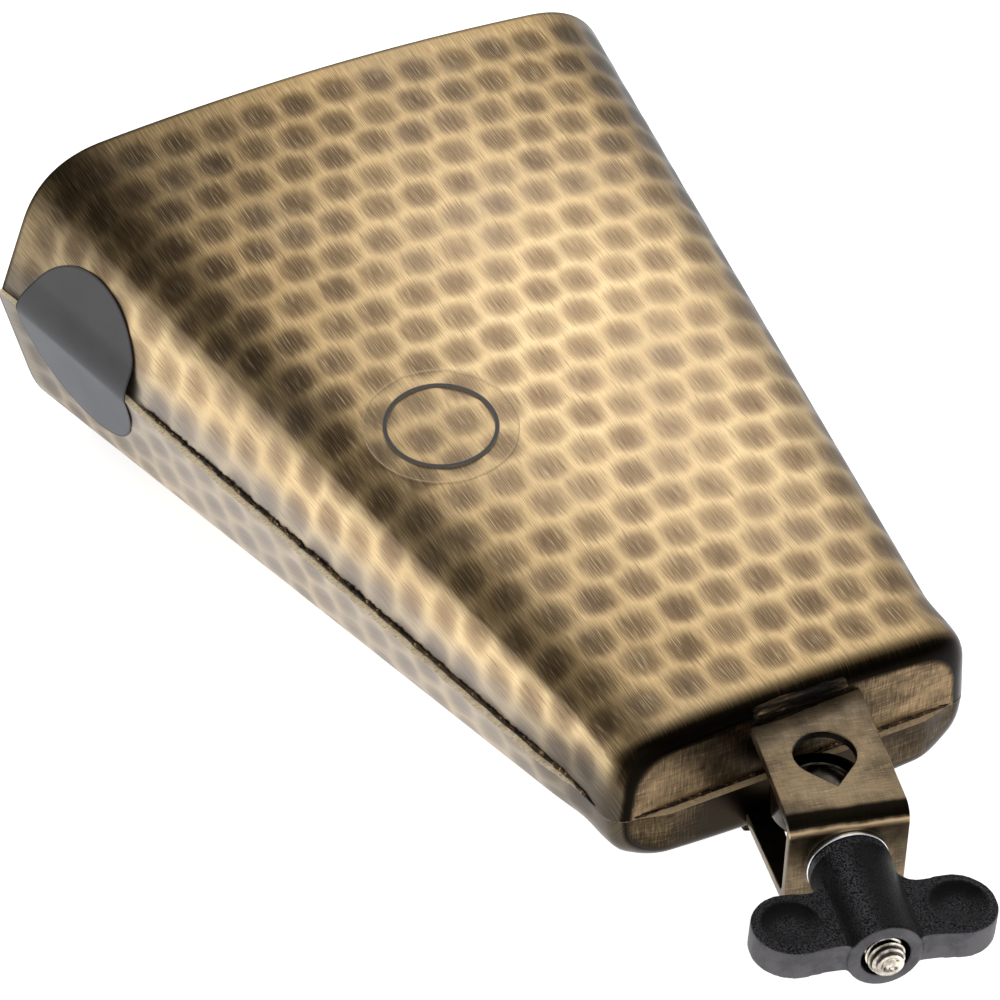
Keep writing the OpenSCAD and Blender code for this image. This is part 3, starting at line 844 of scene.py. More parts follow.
def bent_strip():
    """The strip's outer skin, bent, turned to the clamp's angle and trimmed to the end wall."""
    bm = bmesh.new()
    upper_turn, upper_touch, upper_way = leg_of(UPPER_H, UPPER_SPREAD)
    lower_turn, _, lower_way = leg_of(LOWER_H, LOWER_SPREAD)
    leg_l = ROD_TO_WALL + 2 * ROD_TO_BELL
    foot = upper_touch + upper_way * leg_l
    ends = [bm.verts.new(Vector((foot.x, side * BRACKET_W / 2, foot.y)) * MM) for side in (-1, 1)]
    edge = bm.edges.new(ends)

    def pull(edge, move):
        drawn = bmesh.ops.extrude_edge_only(bm, edges=[edge])["geom"]
        verts = [g for g in drawn if isinstance(g, bmesh.types.BMVert)]
        bmesh.ops.translate(bm, verts=verts, vec=move * MM)
        return next(g for g in drawn if isinstance(g, bmesh.types.BMEdge)
                    and all(v in verts for v in g.verts))

    def bend(edge, x, z, spread):
        spun = bmesh.ops.spin(bm, geom=[edge, *edge.verts], cent=Vector((x, 0, z)) * MM, axis=Y_AXIS,
                              dvec=(0, 0, 0), angle=math.pi / 2 - spread, steps=BEND_STEPS)
        return next(g for g in spun["geom_last"] if isinstance(g, bmesh.types.BMEdge))

    edge = pull(edge, Vector((-upper_way.x, 0, -upper_way.y)) * leg_l)
    edge = bend(edge, upper_turn.x, upper_turn.y, UPPER_SPREAD)
    edge = pull(edge, Vector((0, 0, -upper_turn.y - lower_turn.y)))
    edge = bend(edge, lower_turn.x, -lower_turn.y, LOWER_SPREAD)
    pull(edge, Vector((lower_way.x, 0, -lower_way.y)) * leg_l)
    bmesh.ops.transform(bm, matrix=CLAMP_TURN, verts=bm.verts)
    bmesh.ops.bisect_plane(bm, geom=bm.verts[:] + bm.edges[:] + bm.faces[:], clear_inner=True,
                           plane_co=(-(ROD_TO_BELL + 0.2) * MM, 0, 0), plane_no=X_AXIS)
    bmesh.ops.recalc_face_normals(bm, faces=bm.faces)
    top = max(bm.faces, key=lambda face: face.calc_center_median().z)
    if top.normal.z < 0:
        bmesh.ops.reverse_faces(bm, faces=bm.faces)
    return bm


print("the legs lean by", [round(math.degrees(lean), 1) for lean in (UPPER_SPREAD, LOWER_SPREAD)], "degrees")

# %% [markdown]
# ## The holes in the bracket
#
# Each leg has a round hole for the rod, drawn out to a notch that grips thin rods,
# and the front wall has one for the bolt. A hole is cut by a Boolean, so each
# needs a cutter: a cylinder that is taken away again afterwards. The notch's two
# sides touch the circle, so they start where a tangent from its tip does.

# %% Cutters
ROD_HOLE_R, NOTCH_REACH, BOLT_HOLE_R = 6.2, 9.2, 4.4
CUTTER_L, CUTTER_SIDES = 60, 64


def drill(name, hole_r, axis_turn, notch=0.0):
    """A cutter: a cylinder along the rod or the bolt, drawn out to a notch on one side."""
    bm = bmesh.new()
    bmesh.ops.create_cone(bm, cap_ends=True, segments=CUTTER_SIDES, radius1=hole_r * MM,
                          radius2=hole_r * MM, depth=CUTTER_L * MM)
    if notch:
        touch = hole_r * hole_r / notch
        height = math.sqrt(hole_r ** 2 - touch ** 2) * MM
        for vert in bm.verts:
            if vert.co.x > touch * MM:
                vert.co.x = notch * MM - abs(vert.co.y) / height * (notch - touch) * MM
    bmesh.ops.transform(bm, matrix=CLAMP_TURN @ axis_turn, verts=bm.verts)
    for face in bm.faces:
        face.material_index = 1
    mesh = bpy.data.meshes.new(name)
    for _ in range(2):
        mesh.materials.append(None)
    bm.to_mesh(mesh)
    bm.free()
    cutter = bpy.data.objects.new(name, mesh)
    scene.collection.objects.link(cutter)
    return cutter


BOLT_CUTTER_TURN = (Matrix.Translation(Vector((CUTTER_L / 2 + ROD_HOLE_R, 0, 0)) * MM)
                    @ Matrix.Rotation(math.pi / 2, 4, "Y"))
cutters = [drill("rod_cutter", ROD_HOLE_R, Matrix.Identity(4), NOTCH_REACH),
           drill("bolt_cutter", BOLT_HOLE_R, BOLT_CUTTER_TURN)]
print("cutters:", [cutter.name for cutter in cutters])

# %% [markdown]
# ## The bracket's finish
#
# The strip was stained, then brushed along and across. The finish works in the
# clamp's own directions: ahead is along the bolt and height is along the
# rod. Bands of both say where shade is painted: a black band in the upper bend,
# a darkening high on the front wall, and a dark crevice by the weld, which is
# scorch and painted shade. A bright line just below the bend is a painted
# highlight. The holes and the inner side were never brushed, and they are painted
# near black as shade.

# %% Bracket finishes
def brushed_bracket():
    """Brushed along and across, with painted shade in the bend, high on the front wall and by the weld, and
    a painted highlight.
    """
    f = Finish("cross_brushed_bronze")
    places = f.places()
    local = f.stretch(places, (1, 1, 1), (0, 0, CLAMP_ANGLE))
    long_way = f.noise(f.stretch(local, (260, 4200, 260)), 1, 3, 0.6)
    cross_way = f.noise(f.stretch(local, (3600, 260, 3600)), 1, 3, 0.6)
    clouds = f.noise(local, 130, 3, 0.6)
    grain = long_way * 0.42 + cross_way * 0.58
    stray = (clouds - 0.5) * MM
    ahead, height = f.part(local, "X") + stray, f.part(local, "Z") + stray
    # Painted shade: a black band in the upper bend.
    bend = f.fade(ahead, 14.2 * MM, 15.4 * MM) * f.fade(height, 9.5 * MM, 10.2 * MM)
    from_wall = f.part(places, "X") + (ROD_TO_BELL * MM + stray)
    # By the weld: scorch and painted shade in the crevice under the bar.
    by_weld = f.fade(from_wall, 0.9 * MM, 2.4 * MM, 1, 0)
    # Painted highlight: a bright line just below the bend.
    gleam = f.fade(height, 9.3 * MM, 9.8 * MM, 1, 0) * f.fade(height, 8.3 * MM, 8.7 * MM) \
        * f.fade(ahead, 17.2 * MM, 17.6 * MM)
    # Painted shade: darker higher up the front wall.
    front_wall = f.fade(ahead, 17.4 * MM, 17.8 * MM) * f.fade(height + stray * 6, -3 * MM, 6 * MM) \
        * f.fade(height, 7.8 * MM, 8.5 * MM, 1, 0)
    bronze = f.mix(f.fade(clouds, 0.36, 0.66), paint(128, 111, 86), paint(94, 81, 64))
    light = f.mix(f.fade(grain, 0.5, 0.66) * 0.36, bronze, paint(188, 162, 124))
    colour = f.mix(f.fade(grain, 0.34, 0.5, 0.4, 0), light, paint(62, 52, 40))
    bright = f.mix(gleam * 0.7, colour, paint(222, 190, 150))
    stained_and_shaded = f.mix(by_weld * 0.25 + front_wall * 0.72, bright, SHADE_AND_STAIN_BROWN)
    stained_and_shaded = f.mix(bend * 0.97, stained_and_shaded, NEAR_BLACK)
    patina = f.fade(from_wall, 2 * MM, 9 * MM, 0.6, 0)
    return f.shine(Base_Color=stained_and_shaded, Metallic=1.0 - patina, Roughness=0.34 + (grain - 0.5) * 0.22,
                   Normal=f.bump(grain, 0.14, 0.1 * MM))


def shaded_scale_bronze():
    f = Finish("unbrushed_bronze_and_shade")
    places = f.places()
    clouds = f.noise(places, 240, 4, 0.62)
    specks = f.noise(places, 1500, 2, 0.6)
    # Near black: unbrushed scale, and painted shade, as the holes and the inner side lie in shade.
    colour = f.mix(f.fade(clouds, 0.36, 0.66), paint(34, 28, 22), paint(14, 11, 9))
    return f.shine(Base_Color=colour, Metallic=0.9, Roughness=0.5 + (specks - 0.5) * 0.2,
                   Normal=f.bump(specks, 0.2, 0.08 * MM))


BRACKET_FINISHES = [brushed_bracket(), shaded_scale_bronze()]
print("bracket finishes:", [finish.name for finish in BRACKET_FINISHES])

# %% [markdown]
# ## The finished bracket
#
# Three modifiers, one after the other, turn the bent skin into the bracket:
# Solidify gives it the strip's thickness, two Booleans drill it, and Bevel breaks
# the sharp edges, which then catch a thin line of light.

# %% Bracket
BROKEN_EDGE, BROKEN_ABOVE = 0.28, math.radians(50)

strip = shaped_by(bent_strip(), [
    ("SOLIDIFY", {"thickness": BRACKET_T * MM, "offset": -1, "use_even_offset": True,
                  "material_offset": 1}),
    *[("BOOLEAN", {"object": cutter, "operation": "DIFFERENCE", "solver": "EXACT"})
      for cutter in cutters],
    ("BEVEL", {"width": BROKEN_EDGE * MM, "segments": 3, "material": 0, "limit_method": "ANGLE",
               "angle_limit": BROKEN_ABOVE})])
for cutter in cutters:
    bpy.data.objects.remove(cutter)
finish_piece("bent_bracket", strip, BRACKET_FINISHES, "bell", ["mounting_bracket"],
             merge=0.001 * MM)

# %% [markdown]
# ## The bars of weld at the bracket's feet
#
# Each leg's foot is held by one thick bar of weld along its outer face. It is the
# same kind of bead, fatter and flatter, with long folds where the metal ran. A
# thinner root bead fills the corner between the bar, the leg and the wall.

# %% Bars of weld
BAR_HALF_L, BAR_ASIDE, BAR_SINK = 10.9, 1.8, 0.6
BAR_LIFT, BAR_R, ROOT_BEAD_LIFT, ROOT_BEAD_R = 2.9, 1.7, 0.9, 1.15
LONG_FOLDS = (0.55, 0.1, 0.55)


def leg_path(side, lift):
    """Along a leg's foot on the end wall, lift mm outside the upper (1) or the lower (-1) leg."""
    front_h, spread = (UPPER_H, UPPER_SPREAD) if side > 0 else (LOWER_H, LOWER_SPREAD)
    foot_z = front_h + (ROD_TO_WALL + ROD_TO_BELL) * math.tan(spread)
    middle = Vector((-ROD_TO_BELL - BAR_SINK, BAR_ASIDE, side * (foot_z + lift))) - MOUTH

    def at(share):
        return middle + Y_AXIS * BAR_HALF_L * (1 - 2 * share), X_AXIS, Z_AXIS
    return at


def folded_weld():
    f = Finish("folded_weld")
    places = f.places()
    folds = f.noise(f.stretch(places, (620, 60, 620)), 1, 4, 0.6)
    crumbs = f.noise(f.stretch(places, (1100, 500, 1100)), 1, 3, 0.6)
    # Near black between the folds: scorch and painted shade in the creases.
    bronze = f.mix(f.fade(folds, 0.44, 0.6), paint(14, 11, 8), paint(60, 49, 35))
    # Pale on the folds' ridges: a painted highlight.
    colour = f.mix(f.fade(folds + (crumbs - 0.5) * 0.3, 0.58, 0.7) * 0.5, bronze, paint(170, 144, 108))
    return f.shine(Base_Color=colour, Metallic=0.95, Roughness=0.36,
                   Normal=f.bump(folds * 0.85 + crumbs * 0.15, 0.7, 0.4 * MM))


FOLDED = folded_weld()
for word, side, node, seed in (("upper", 1, "bracket_weld_top", 33),
                               ("lower", -1, "bracket_weld_bottom", 39)):
    weld_bead(f"{word}_foot_weld", leg_path(side, BAR_LIFT), BAR_R, 0.36, [node], FOLDED, seed,
              rings=24, flat=0.85, grain=LONG_FOLDS)
    weld_bead(f"{word}_root_weld", leg_path(side, ROOT_BEAD_LIFT), ROOT_BEAD_R, 0.36, [], FOLDED,
              seed + 9, rings=16, flat=1, grain=LONG_FOLDS)

# %% [markdown]
# ## The eye bolt
#
# A flat-sided ring takes the rod, and a threaded shank leaves it through the front
# wall. The ring is a rectangle with rounded corners, spun round the rod. Both are
# nickel plated, and the ring is painted greyer and darker, as the shade under the
# bracket.

# %% Eye
EYE_R, EYE_T, EYE_EDGE = 10.0, 6.0, 0.9
RING_STEPS = 96


def nickel(name, pale, deep):
    f = Finish(name)
    places = f.places()
    wear = f.noise(places, 260, 4, 0.6)
    lines = f.noise(f.stretch(places, (900, 900, 3000)), 1, 2, 0.5)
    plated = f.mix(f.fade(wear, 0.4, 0.62), pale, deep)
    # The grooves are painted dark as shade.
    colour = f.mix(f.fade(f.attribute("groove"), 0.2, 0.6) * 0.92, plated, paint(26, 23, 20))
    dull = 0.16 + (wear - 0.5) * 0.12 + (lines - 0.5) * 0.06
    return f.shine(Base_Color=colour, Metallic=1.0, Roughness=dull, Normal=f.bump(lines, 0.1, 0.06 * MM))


def ring_piece(outer, inner, thick, edge, axis, start):
    """A ring with broken edges: its rectangle of a section, bevelled and spun."""
    bm = bmesh.new()
    bmesh.ops.create_grid(bm, x_segments=1, y_segments=1, size=0.5)
    for vert in bm.verts:
        radius = (outer + inner) / 2 + vert.co.x * (outer - inner)
        vert.co = Vector((radius, 0, start + (vert.co.y + 0.5) * thick)) * MM
    bmesh.ops.bevel(bm, geom=bm.verts[:], offset=edge * MM, segments=4, profile=0.5, affect="VERTICES",
                    material=-1)
    bmesh.ops.delete(bm, geom=bm.faces[:], context="FACES_ONLY")
    bmesh.ops.spin(bm, geom=bm.edges[:] + bm.verts[:], cent=(0, 0, 0), axis=Z_AXIS, dvec=(0, 0, 0),
                   angle=2 * math.pi, steps=RING_STEPS, use_merge=True)
    bmesh.ops.transform(bm, matrix=axis, verts=bm.verts)
    return bm


# The ring's nickel is painted dark grey, as shade under the bracket.
finish_piece("eye_ring", ring_piece(EYE_R, ROD_HOLE_R, EYE_T, EYE_EDGE, CLAMP_TURN, -EYE_T / 2),
             [nickel("shade_darkened_nickel", paint(78, 72, 64), paint(42, 38, 34))],
             "eye_bolt", ["eye_bolt"])

# %% [markdown]
# ## The thread
#
# The thread is a real screw: one tooth's profile, spun round the bolt while it
# moves along by one pitch per turn, so each turn's end meets the next turn's
# start. Both ends are then cut flat. The tip is drawn in a little and its end face
# gets a small dimple. The grooves are painted dark as shade, which a value on each
# vertex says.

# %% Threaded shank
BOLT_R, PITCH, BOLT_REACH = 3.85, 1.25, 28.3
BOLT_START, BOLT_TIP = 8.0, ROD_TO_WALL + BOLT_REACH
ROOT_R = BOLT_R - 0.61 * PITCH
THREAD_STEPS = 32
TOOTH = ((ROOT_R, 0), (ROOT_R, 0.12), (BOLT_R, 0.44), (BOLT_R, 0.56), (ROOT_R, 0.88), (ROOT_R, 1))
DIMPLE = ((0.6, 0.0), (0.3, 0.3), (0.5, 0.35))
ALONG_BOLT = CLAMP_TURN @ Matrix.Rotation(math.pi / 2, 4, "Y")


def threaded_shank(start, tip):
    turns = math.ceil((tip - start) / PITCH) + 1
    bm = bmesh.new()
    chain = [bm.verts.new(Vector((radius, 0, start + share * PITCH)) * MM) for radius, share in TOOTH]
    edges = [bm.edges.new(pair) for pair in zip(chain, chain[1:])]
    bmesh.ops.spin(bm, geom=chain + edges, cent=(0, 0, 0), axis=Z_AXIS, angle=turns * 2 * math.pi,
                   dvec=Z_AXIS * (PITCH / THREAD_STEPS) * MM, steps=turns * THREAD_STEPS)
    bmesh.ops.remove_doubles(bm, verts=bm.verts, dist=0.004 * MM)
    for side, cut in ((-1, start + 1.2 * PITCH), (1, tip)):
        bmesh.ops.bisect_plane(bm, geom=bm.verts[:] + bm.edges[:] + bm.faces[:], clear_outer=True,
                               plane_co=(0, 0, cut * MM), plane_no=Z_AXIS * side)
        rim = [edge for edge in bm.edges if edge.is_boundary
               and all(abs(vert.co.z - cut * MM) < 0.001 * MM for vert in edge.verts)]
        bmesh.ops.edgeloop_fill(bm, edges=rim)
    groove = bm.verts.layers.float.new("groove")
    for vert in bm.verts:
        height = vert.co.z / MM
        # Painted shade: the grooves are darker.
        vert[groove] = 1 - smoothstep(vert.co.xy.length / MM, ROOT_R + 0.1, BOLT_R - 0.1)
        vert[groove] *= 1 - smoothstep(height, tip - 0.5, tip - 0.1)
        vert.co.xy *= 1 - 0.12 * max(0, height - (tip - 2.2))
    end = max((face for face in bm.faces if face.calc_center_median().z > (tip - 0.05) * MM),
              key=lambda face: face.calc_area())
    for width, sink in DIMPLE:
        bmesh.ops.inset_region(bm, faces=[end], thickness=width * MM, use_even_offset=False)
        bmesh.ops.translate(bm, verts=end.verts[:], vec=(0, 0, -sink * MM))
    bmesh.ops.transform(bm, matrix=ALONG_BOLT, verts=bm.verts)
    return bm


finish_piece("threaded_shank", threaded_shank(BOLT_START, BOLT_TIP),
             [nickel("bright_nickel", paint(236, 228, 216), paint(150, 140, 128))],
             "eye_bolt", ["eye_bolt"])

# %% [markdown]
# ## Washer and brass insert
#
# The washer is a thin bright ring, spun like the eye. The brass insert sits deep in
# the nut, so its CAD solid stays and only gets a better finish.

# %% Washer and insert
WASHER_R, WASHER_T, WASHER_EDGE, WASHER_AIR = 8.3, 1.0, 0.25, 0.05


def bright_zinc():
    f = Finish("bright_zinc")
    places = f.places()
    frost = f.noise(places, 420, 3, 0.6)
    turned = f.noise(places, 1300, 2, 0.5)
    colour = f.mix(f.fade(frost, 0.36, 0.66), paint(246, 250, 252), paint(206, 214, 220))
    return f.shine(Base_Color=colour, Metallic=1.0, Roughness=0.2 + (frost - 0.5) * 0.16,
                   Normal=f.bump(turned, 0.12, 0.06 * MM))


def yellow_brass():
    f = Finish("yellow_brass")
    places = f.places()
    tarnish = f.noise(places, 300, 3, 0.6)
    turned = f.noise(f.stretch(places, (3200, 500, 500)), 1, 2, 0.5)
    colour = f.mix(f.fade(tarnish, 0.35, 0.7), paint(226, 190, 106), paint(160, 126, 64))
    return f.shine(Base_Color=colour, Metallic=1.0, Roughness=0.26 + (tarnish - 0.5) * 0.16,
                   Normal=f.bump(turned, 0.1, 0.08 * MM))


washer_ring = ring_piece(WASHER_R, BOLT_HOLE_R, WASHER_T, WASHER_EDGE, ALONG_BOLT,
                         ROD_TO_WALL + WASHER_AIR)
finish_piece("bright_washer", washer_ring, [bright_zinc()], "wing_nut", ["washer"])
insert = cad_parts["wing_nut_insert"].data
insert.materials.clear()
insert.materials.append(yellow_brass())

# %% [markdown]
# ## The wing nut
#
# It is moulded in black plastic: a hub, two paddles with a finger hollow on each
# face, and soft fillets wherever two forms meet. Fillets like these are hard to
# cut by hand, so the hub and the paddles are made as rough closed forms that
# overlap. A paddle is pulled out of the hub's side in steps, and each step is as
# wide as the paddle is there.

# %% Rough wing nut
HUB_R, HUB_BORE_R, INSERT_R, INSERT_L = 7.7, 4.8, 5.5, 15.0
NUT_START, NUT_END = ROD_TO_WALL + 1.15, ROD_TO_WALL + 26.0
WING_R, WING_TIP, WING_T = 8.2, 16.1, 6.6
WING_MIDDLE = NUT_END - 0.3 - WING_R
WING_START, WING_START_W, WING_START_BACK = 6.6, 10.0, 2.4
WING_ROOT = ((7.3, 9.0, 1.5), (8.2, 8.2, 0.8), (9.5, 7.7, 0.3), (11.5, 7.6, 0), (14, 7.95, 0))
HUB_SECTION = ((NUT_START, INSERT_R), (NUT_START, HUB_R + 0.5), (NUT_START + 0.4, HUB_R + 0.6),
               (NUT_END - 12, HUB_R - 0.1), (NUT_END - 0.5, HUB_R - 0.15), (NUT_END, HUB_R - 0.7),
               (NUT_END, HUB_BORE_R), (NUT_START + INSERT_L, HUB_BORE_R), (NUT_START + INSERT_L, INSERT_R))
HUB_STEPS = 72


def nut_hub():
    """The hub's section, as (distance along the bolt, radius), spun round the bolt."""
    bm = bmesh.new()
    ring = [bm.verts.new(Vector((x, 0, radius)) * MM) for x, radius in HUB_SECTION]
    edges = [bm.edges.new(pair) for pair in zip(ring, ring[1:] + ring[:1])]
    bmesh.ops.spin(bm, geom=ring + edges, cent=(0, 0, 0), axis=X_AXIS, dvec=(0, 0, 0),
                   angle=2 * math.pi, steps=HUB_STEPS, use_merge=True)
    return bm


def add_wing(bm, side):
    """A paddle, pulled out of the hub's side through stations of (reach, half width, step back)."""
    round_tip = [(WING_TIP + WING_R * math.sin(angle), WING_R * math.cos(angle), 0)
                 for angle in map(math.radians, range(0, 90, 6))]
    stations = [*WING_ROOT, *round_tip]
    corners = [bm.verts.new(Vector((WING_MIDDLE - WING_START_BACK + x * WING_START_W,
                                    side * WING_START, z * WING_T / 2)) * MM)
               for x, z in ((-1, -1), (1, -1), (1, 1), (-1, 1))]
    face = bm.faces.new(corners)
    bmesh.ops.subdivide_edges(bm, edges=face.edges[:], cuts=1, use_grid_fill=True)
    ends = [face for face in bm.faces
            if all(abs(vert.co.y - side * WING_START * MM) < 1e-7 for vert in face.verts)]
    for reach, half_width, back in stations:
        pulled = bmesh.ops.extrude_face_region(bm, geom=ends, use_keep_orig=reach == stations[0][0])["geom"]
        verts = [g for g in pulled if isinstance(g, bmesh.types.BMVert)]
        ends = [g for g in pulled if isinstance(g, bmesh.types.BMFace)]
        middle = sum(v.co.x for v in verts) / len(verts)
        widest = max(abs(v.co.x - middle) for v in verts)
        for vert in verts:
            vert.co.y = side * reach * MM
            vert.co.x = (WING_MIDDLE - back) * MM + (vert.co.x - middle) * half_width * MM / widest


print("wing nut from", round(NUT_START, 2), "to", round(NUT_END, 2), "mm ahead of the rod")

# %% [markdown]
# ## Black grained plastic
#
# The mould left a fine pebbled grain, made of small rounded cells. Its peaks are
# painted grey as a sheen: painted highlights on the rims and along two lines of the
# hub, and painted shade in a crescent inside each hollow. The flat front and the
# wings' round sides are painted paler, as reflected light. Two values on each
# vertex say where.

# %% Grained plastic
def grained_plastic():
    f = Finish("grained_black_plastic")
    places = f.places()
    pebbles = f.node("ShaderNodeTexVoronoi", {"feature": "SMOOTH_F1"},
                     {"Vector": places, "Scale": 3300, "Smoothness": 0.8})
    blotches = f.noise(places, 220, 3, 0.6)
    band = f.attribute("band")
    black = f.mix(f.fade(blotches, 0.35, 0.7), paint(5, 5, 6), paint(14, 14, 15))
    # Grey pebble peaks as painted sheen, where the rubbed value says.
    wear_and_sheen = f.mix(f.fade(pebbles, 0.15, 0.65, 1, 0) * f.attribute("rub_and_sheen"), black, paint(90, 88, 92))
    # The paler band is a painted reflection.
    colour = f.mix(band * f.fade(blotches, 0.36, 0.62, 0.6, 0.95), wear_and_sheen, paint(114, 112, 116))
    return f.shine(Base_Color=colour, Metallic=0.0, Roughness=0.46 - band * 0.08 + (blotches - 0.5) * 0.12,
                   Normal=f.bump(pebbles, 0.6, 0.16 * MM), Specular_IOR_Level=0.07)


BLACK_PLASTIC = grained_plastic()
print("finish of the wing nut:", BLACK_PLASTIC.name)

# %% [markdown]
# ## Melting the forms together
#
# A voxel remesh melts the hub and the paddles into one skin, and some rounds of
# smoothing run the fillets. The hollows and their raised rims are pressed in last:
# a bowl-shaped sink, and a narrow hump in a ring round it. The nut is stored with
# its wings turned by two degrees, as they show in the photograph.

# %% Wing nut
VOXEL, SMOOTH_ROUNDS = 0.3, 16
WING_TURN = Matrix.Rotation(math.radians(-2), 4, "X")
HOLLOW_OUT, HOLLOW_R, HOLLOW_DEPTH = 16.6, 5.6, 1.7
HUMP_R, HUMP_RISE, HUMP_W = 6.0, 0.3, 0.5


def moulded_nut():
    bm = nut_hub()
    for side in (-1, 1):
        add_wing(bm, side)
    bmesh.ops.recalc_face_normals(bm, faces=bm.faces)
    bm = shaped_by(bm, [("REMESH", {"mode": "VOXEL", "voxel_size": VOXEL * MM}),
                        ("SMOOTH", {"factor": 0.5, "iterations": SMOOTH_ROUNDS})])
    band = bm.verts.layers.float.new("band")
    rub_and_sheen = bm.verts.layers.float.new("rub_and_sheen")
    bm.normal_update()
    for vert in bm.verts:
        place, normal = vert.co / MM, vert.normal
        reach = math.hypot(place.x - WING_MIDDLE, abs(place.y) - HOLLOW_OUT)
        facing = smoothstep(abs(normal.z), 0.7, 0.95)
        outside = math.hypot(place.y, place.z) > HUB_R + 0.5
        sink = -max(0, 1 - (reach / HOLLOW_R) ** 2) * HOLLOW_DEPTH \
            + HUMP_RISE * math.exp(-((reach - HUMP_R) / HUMP_W) ** 2)
        if outside and facing:
            vert.co = vert.co + normal * sink * facing * MM
        # The band is painted paler as reflected light: the flat front and the wings' round sides.
        flat_front = smoothstep(normal.x, 0.45, 0.8)
        round_side = (1 - smoothstep(abs(normal.z), 0.25, 0.6)) if outside else 0
        vert[band] = max(flat_front, round_side)
        if outside:
            # Painted highlight on the rims, and painted shade in a crescent of each hollow.
            edge = 0.4 * smoothstep(abs(normal.z), 0.3, 0.6) * (1 - smoothstep(abs(normal.z), 0.75, 0.97))
            in_shade = smoothstep(reach, 1.5, 4.5) * (1 - smoothstep(reach, 5.6, 6.2)) \
                * (1 - smoothstep(place.x - WING_MIDDLE, -3, 3))
            vert[rub_and_sheen] = edge + 0.5 * (1 - in_shade)
        else:
            # Painted highlights along two lines of the hub.
            lean = math.degrees(math.atan2(-place.y, place.z)) % 180
            vert[rub_and_sheen] = 0.1 + 0.6 * math.exp(-((lean - 26) / 15) ** 2) \
                + 0.3 * math.exp(-((lean - 128) / 8) ** 2)
    bmesh.ops.transform(bm, matrix=CLAMP_TURN @ WING_TURN, verts=bm.verts)
    return bm


nut = finish_piece("moulded_wing_nut", moulded_nut(), [BLACK_PLASTIC], "wing_nut", ["wing_nut"],
                   merge=0)

# %% [markdown]
# ## Two thin films
#
# A dark round film wraps over the seam near the mouth and stands off the step
# like a small tent, and a clear one lies flat on the front face. Both begin as a
# disc: a line of vertices spun about one end. The disc is laid on the bell by
# the same sizes that shaped the shells, a hair above the highest ridges.

# %% Laying a film
FILM_T, FILM_AIR = 0.18, 0.06
FILM_RINGS, FILM_SPOKES = 26, 112


def disc(radius):
    bm = bmesh.new()
    spoke = [bm.verts.new(Vector((radius * ring / FILM_RINGS, 0, 0))) for ring in range(FILM_RINGS + 1)]
    edges = [bm.edges.new(pair) for pair in zip(spoke, spoke[1:])]
    bmesh.ops.spin(bm, geom=spoke + edges, cent=(0, 0, 0), axis=Z_AXIS, dvec=(0, 0, 0),
                   angle=2 * math.pi, steps=FILM_SPOKES, use_merge=True)
    bmesh.ops.remove_doubles(bm, verts=bm.verts, dist=1e-5)
    return bm


def face_skin(x, y):
    _, face, depth, crown, _ = shell_sizes(FRONT, x)
    return depth + crown * (1 - (y / face) ** 2)


def side_skin(x, z):
    """Half the bell's width at a height, with the film's slanting bridge over the lip."""
    front, rear = shell_sizes(FRONT, x), shell_sizes(BACK, x)
    above = front[0] + (front[1] - front[0]) * max(z, 0) / front[2]
    below = rear[0] + (rear[1] - rear[0]) * max(0, -z) / rear[2]
    return below + (above - below) * smoothstep(z, -0.8, 8)


def lay_film(name, radius, centre, lay, finish, stands_for, out):
    """A disc laid on the bell. lay turns a flat place in mm into a place, out is away from the bell."""
    bm = disc(radius)
    film = bm.verts.layers.float_vector.new("film")
    for vert in bm.verts:
        flat = vert.co.copy()
        vert[film] = flat * MM
        vert.co = lay(centre.x + flat.x, centre.y + flat.y)
    bm.normal_update()
    if sum(face.normal.dot(out) for face in bm.faces) < 0:
        bmesh.ops.reverse_faces(bm, faces=bm.faces)
    bm = shaped_by(bm, [("SOLIDIFY", {"thickness": FILM_T * MM, "offset": 1})])
    return finish_piece(name, bm, [finish], "bell", [stands_for], merge=0, turn_out=False)


print("front skin above the seam, in the middle of the mouth:", face_skin(0, 0), "mm")

# %% [markdown]
# ## The films' finishes
#
# The real films carry print, and these stay plain on purpose. The dark one is
# matt with a darker rim, and below the seam, where it bends under, it is painted
# paler and bluer as light. The clear one is nearly invisible: only its edge and
# one thin ring show. Both read each vertex's place on the flat disc, so rings are
# distances from its middle.

# %% Film finishes
SIDE_FILM_R, SIDE_RIM = 19.3, (18.7, 19.1)
FACE_FILM_R, FACE_EDGE = 16.0, (15.5, 15.95)
RING_IN, RING_OUT = (10.9, 11.05), (11.75, 11.9)


def dark_film():
    f = Finish("dark_grey_film")
    film = f.attribute("film", "Vector")
    cloudy = f.noise(film, 60, 3, 0.5)
    grain = f.noise(film, 2600, 2, 0.6)
    rim = f.band(f.length(film), SIDE_RIM)
    upper = f.mix(f.fade(cloudy, 0.3, 0.7), paint(84, 84, 86), paint(92, 91, 91))
    # The part below the seam is painted paler and bluer as light.
    colour = f.mix(f.band(f.part(film, "Y"), (-1, 4), 1, 0), upper, paint(100, 103, 109))
    whole = f.mix(rim, colour, paint(62, 60, 60))
    return f.shine(Base_Color=whole, Metallic=0.0, Roughness=0.42 + (cloudy - 0.5) * 0.2,
                   Normal=f.bump(grain, 0.08, 0.05 * MM), Specular_IOR_Level=0.18)


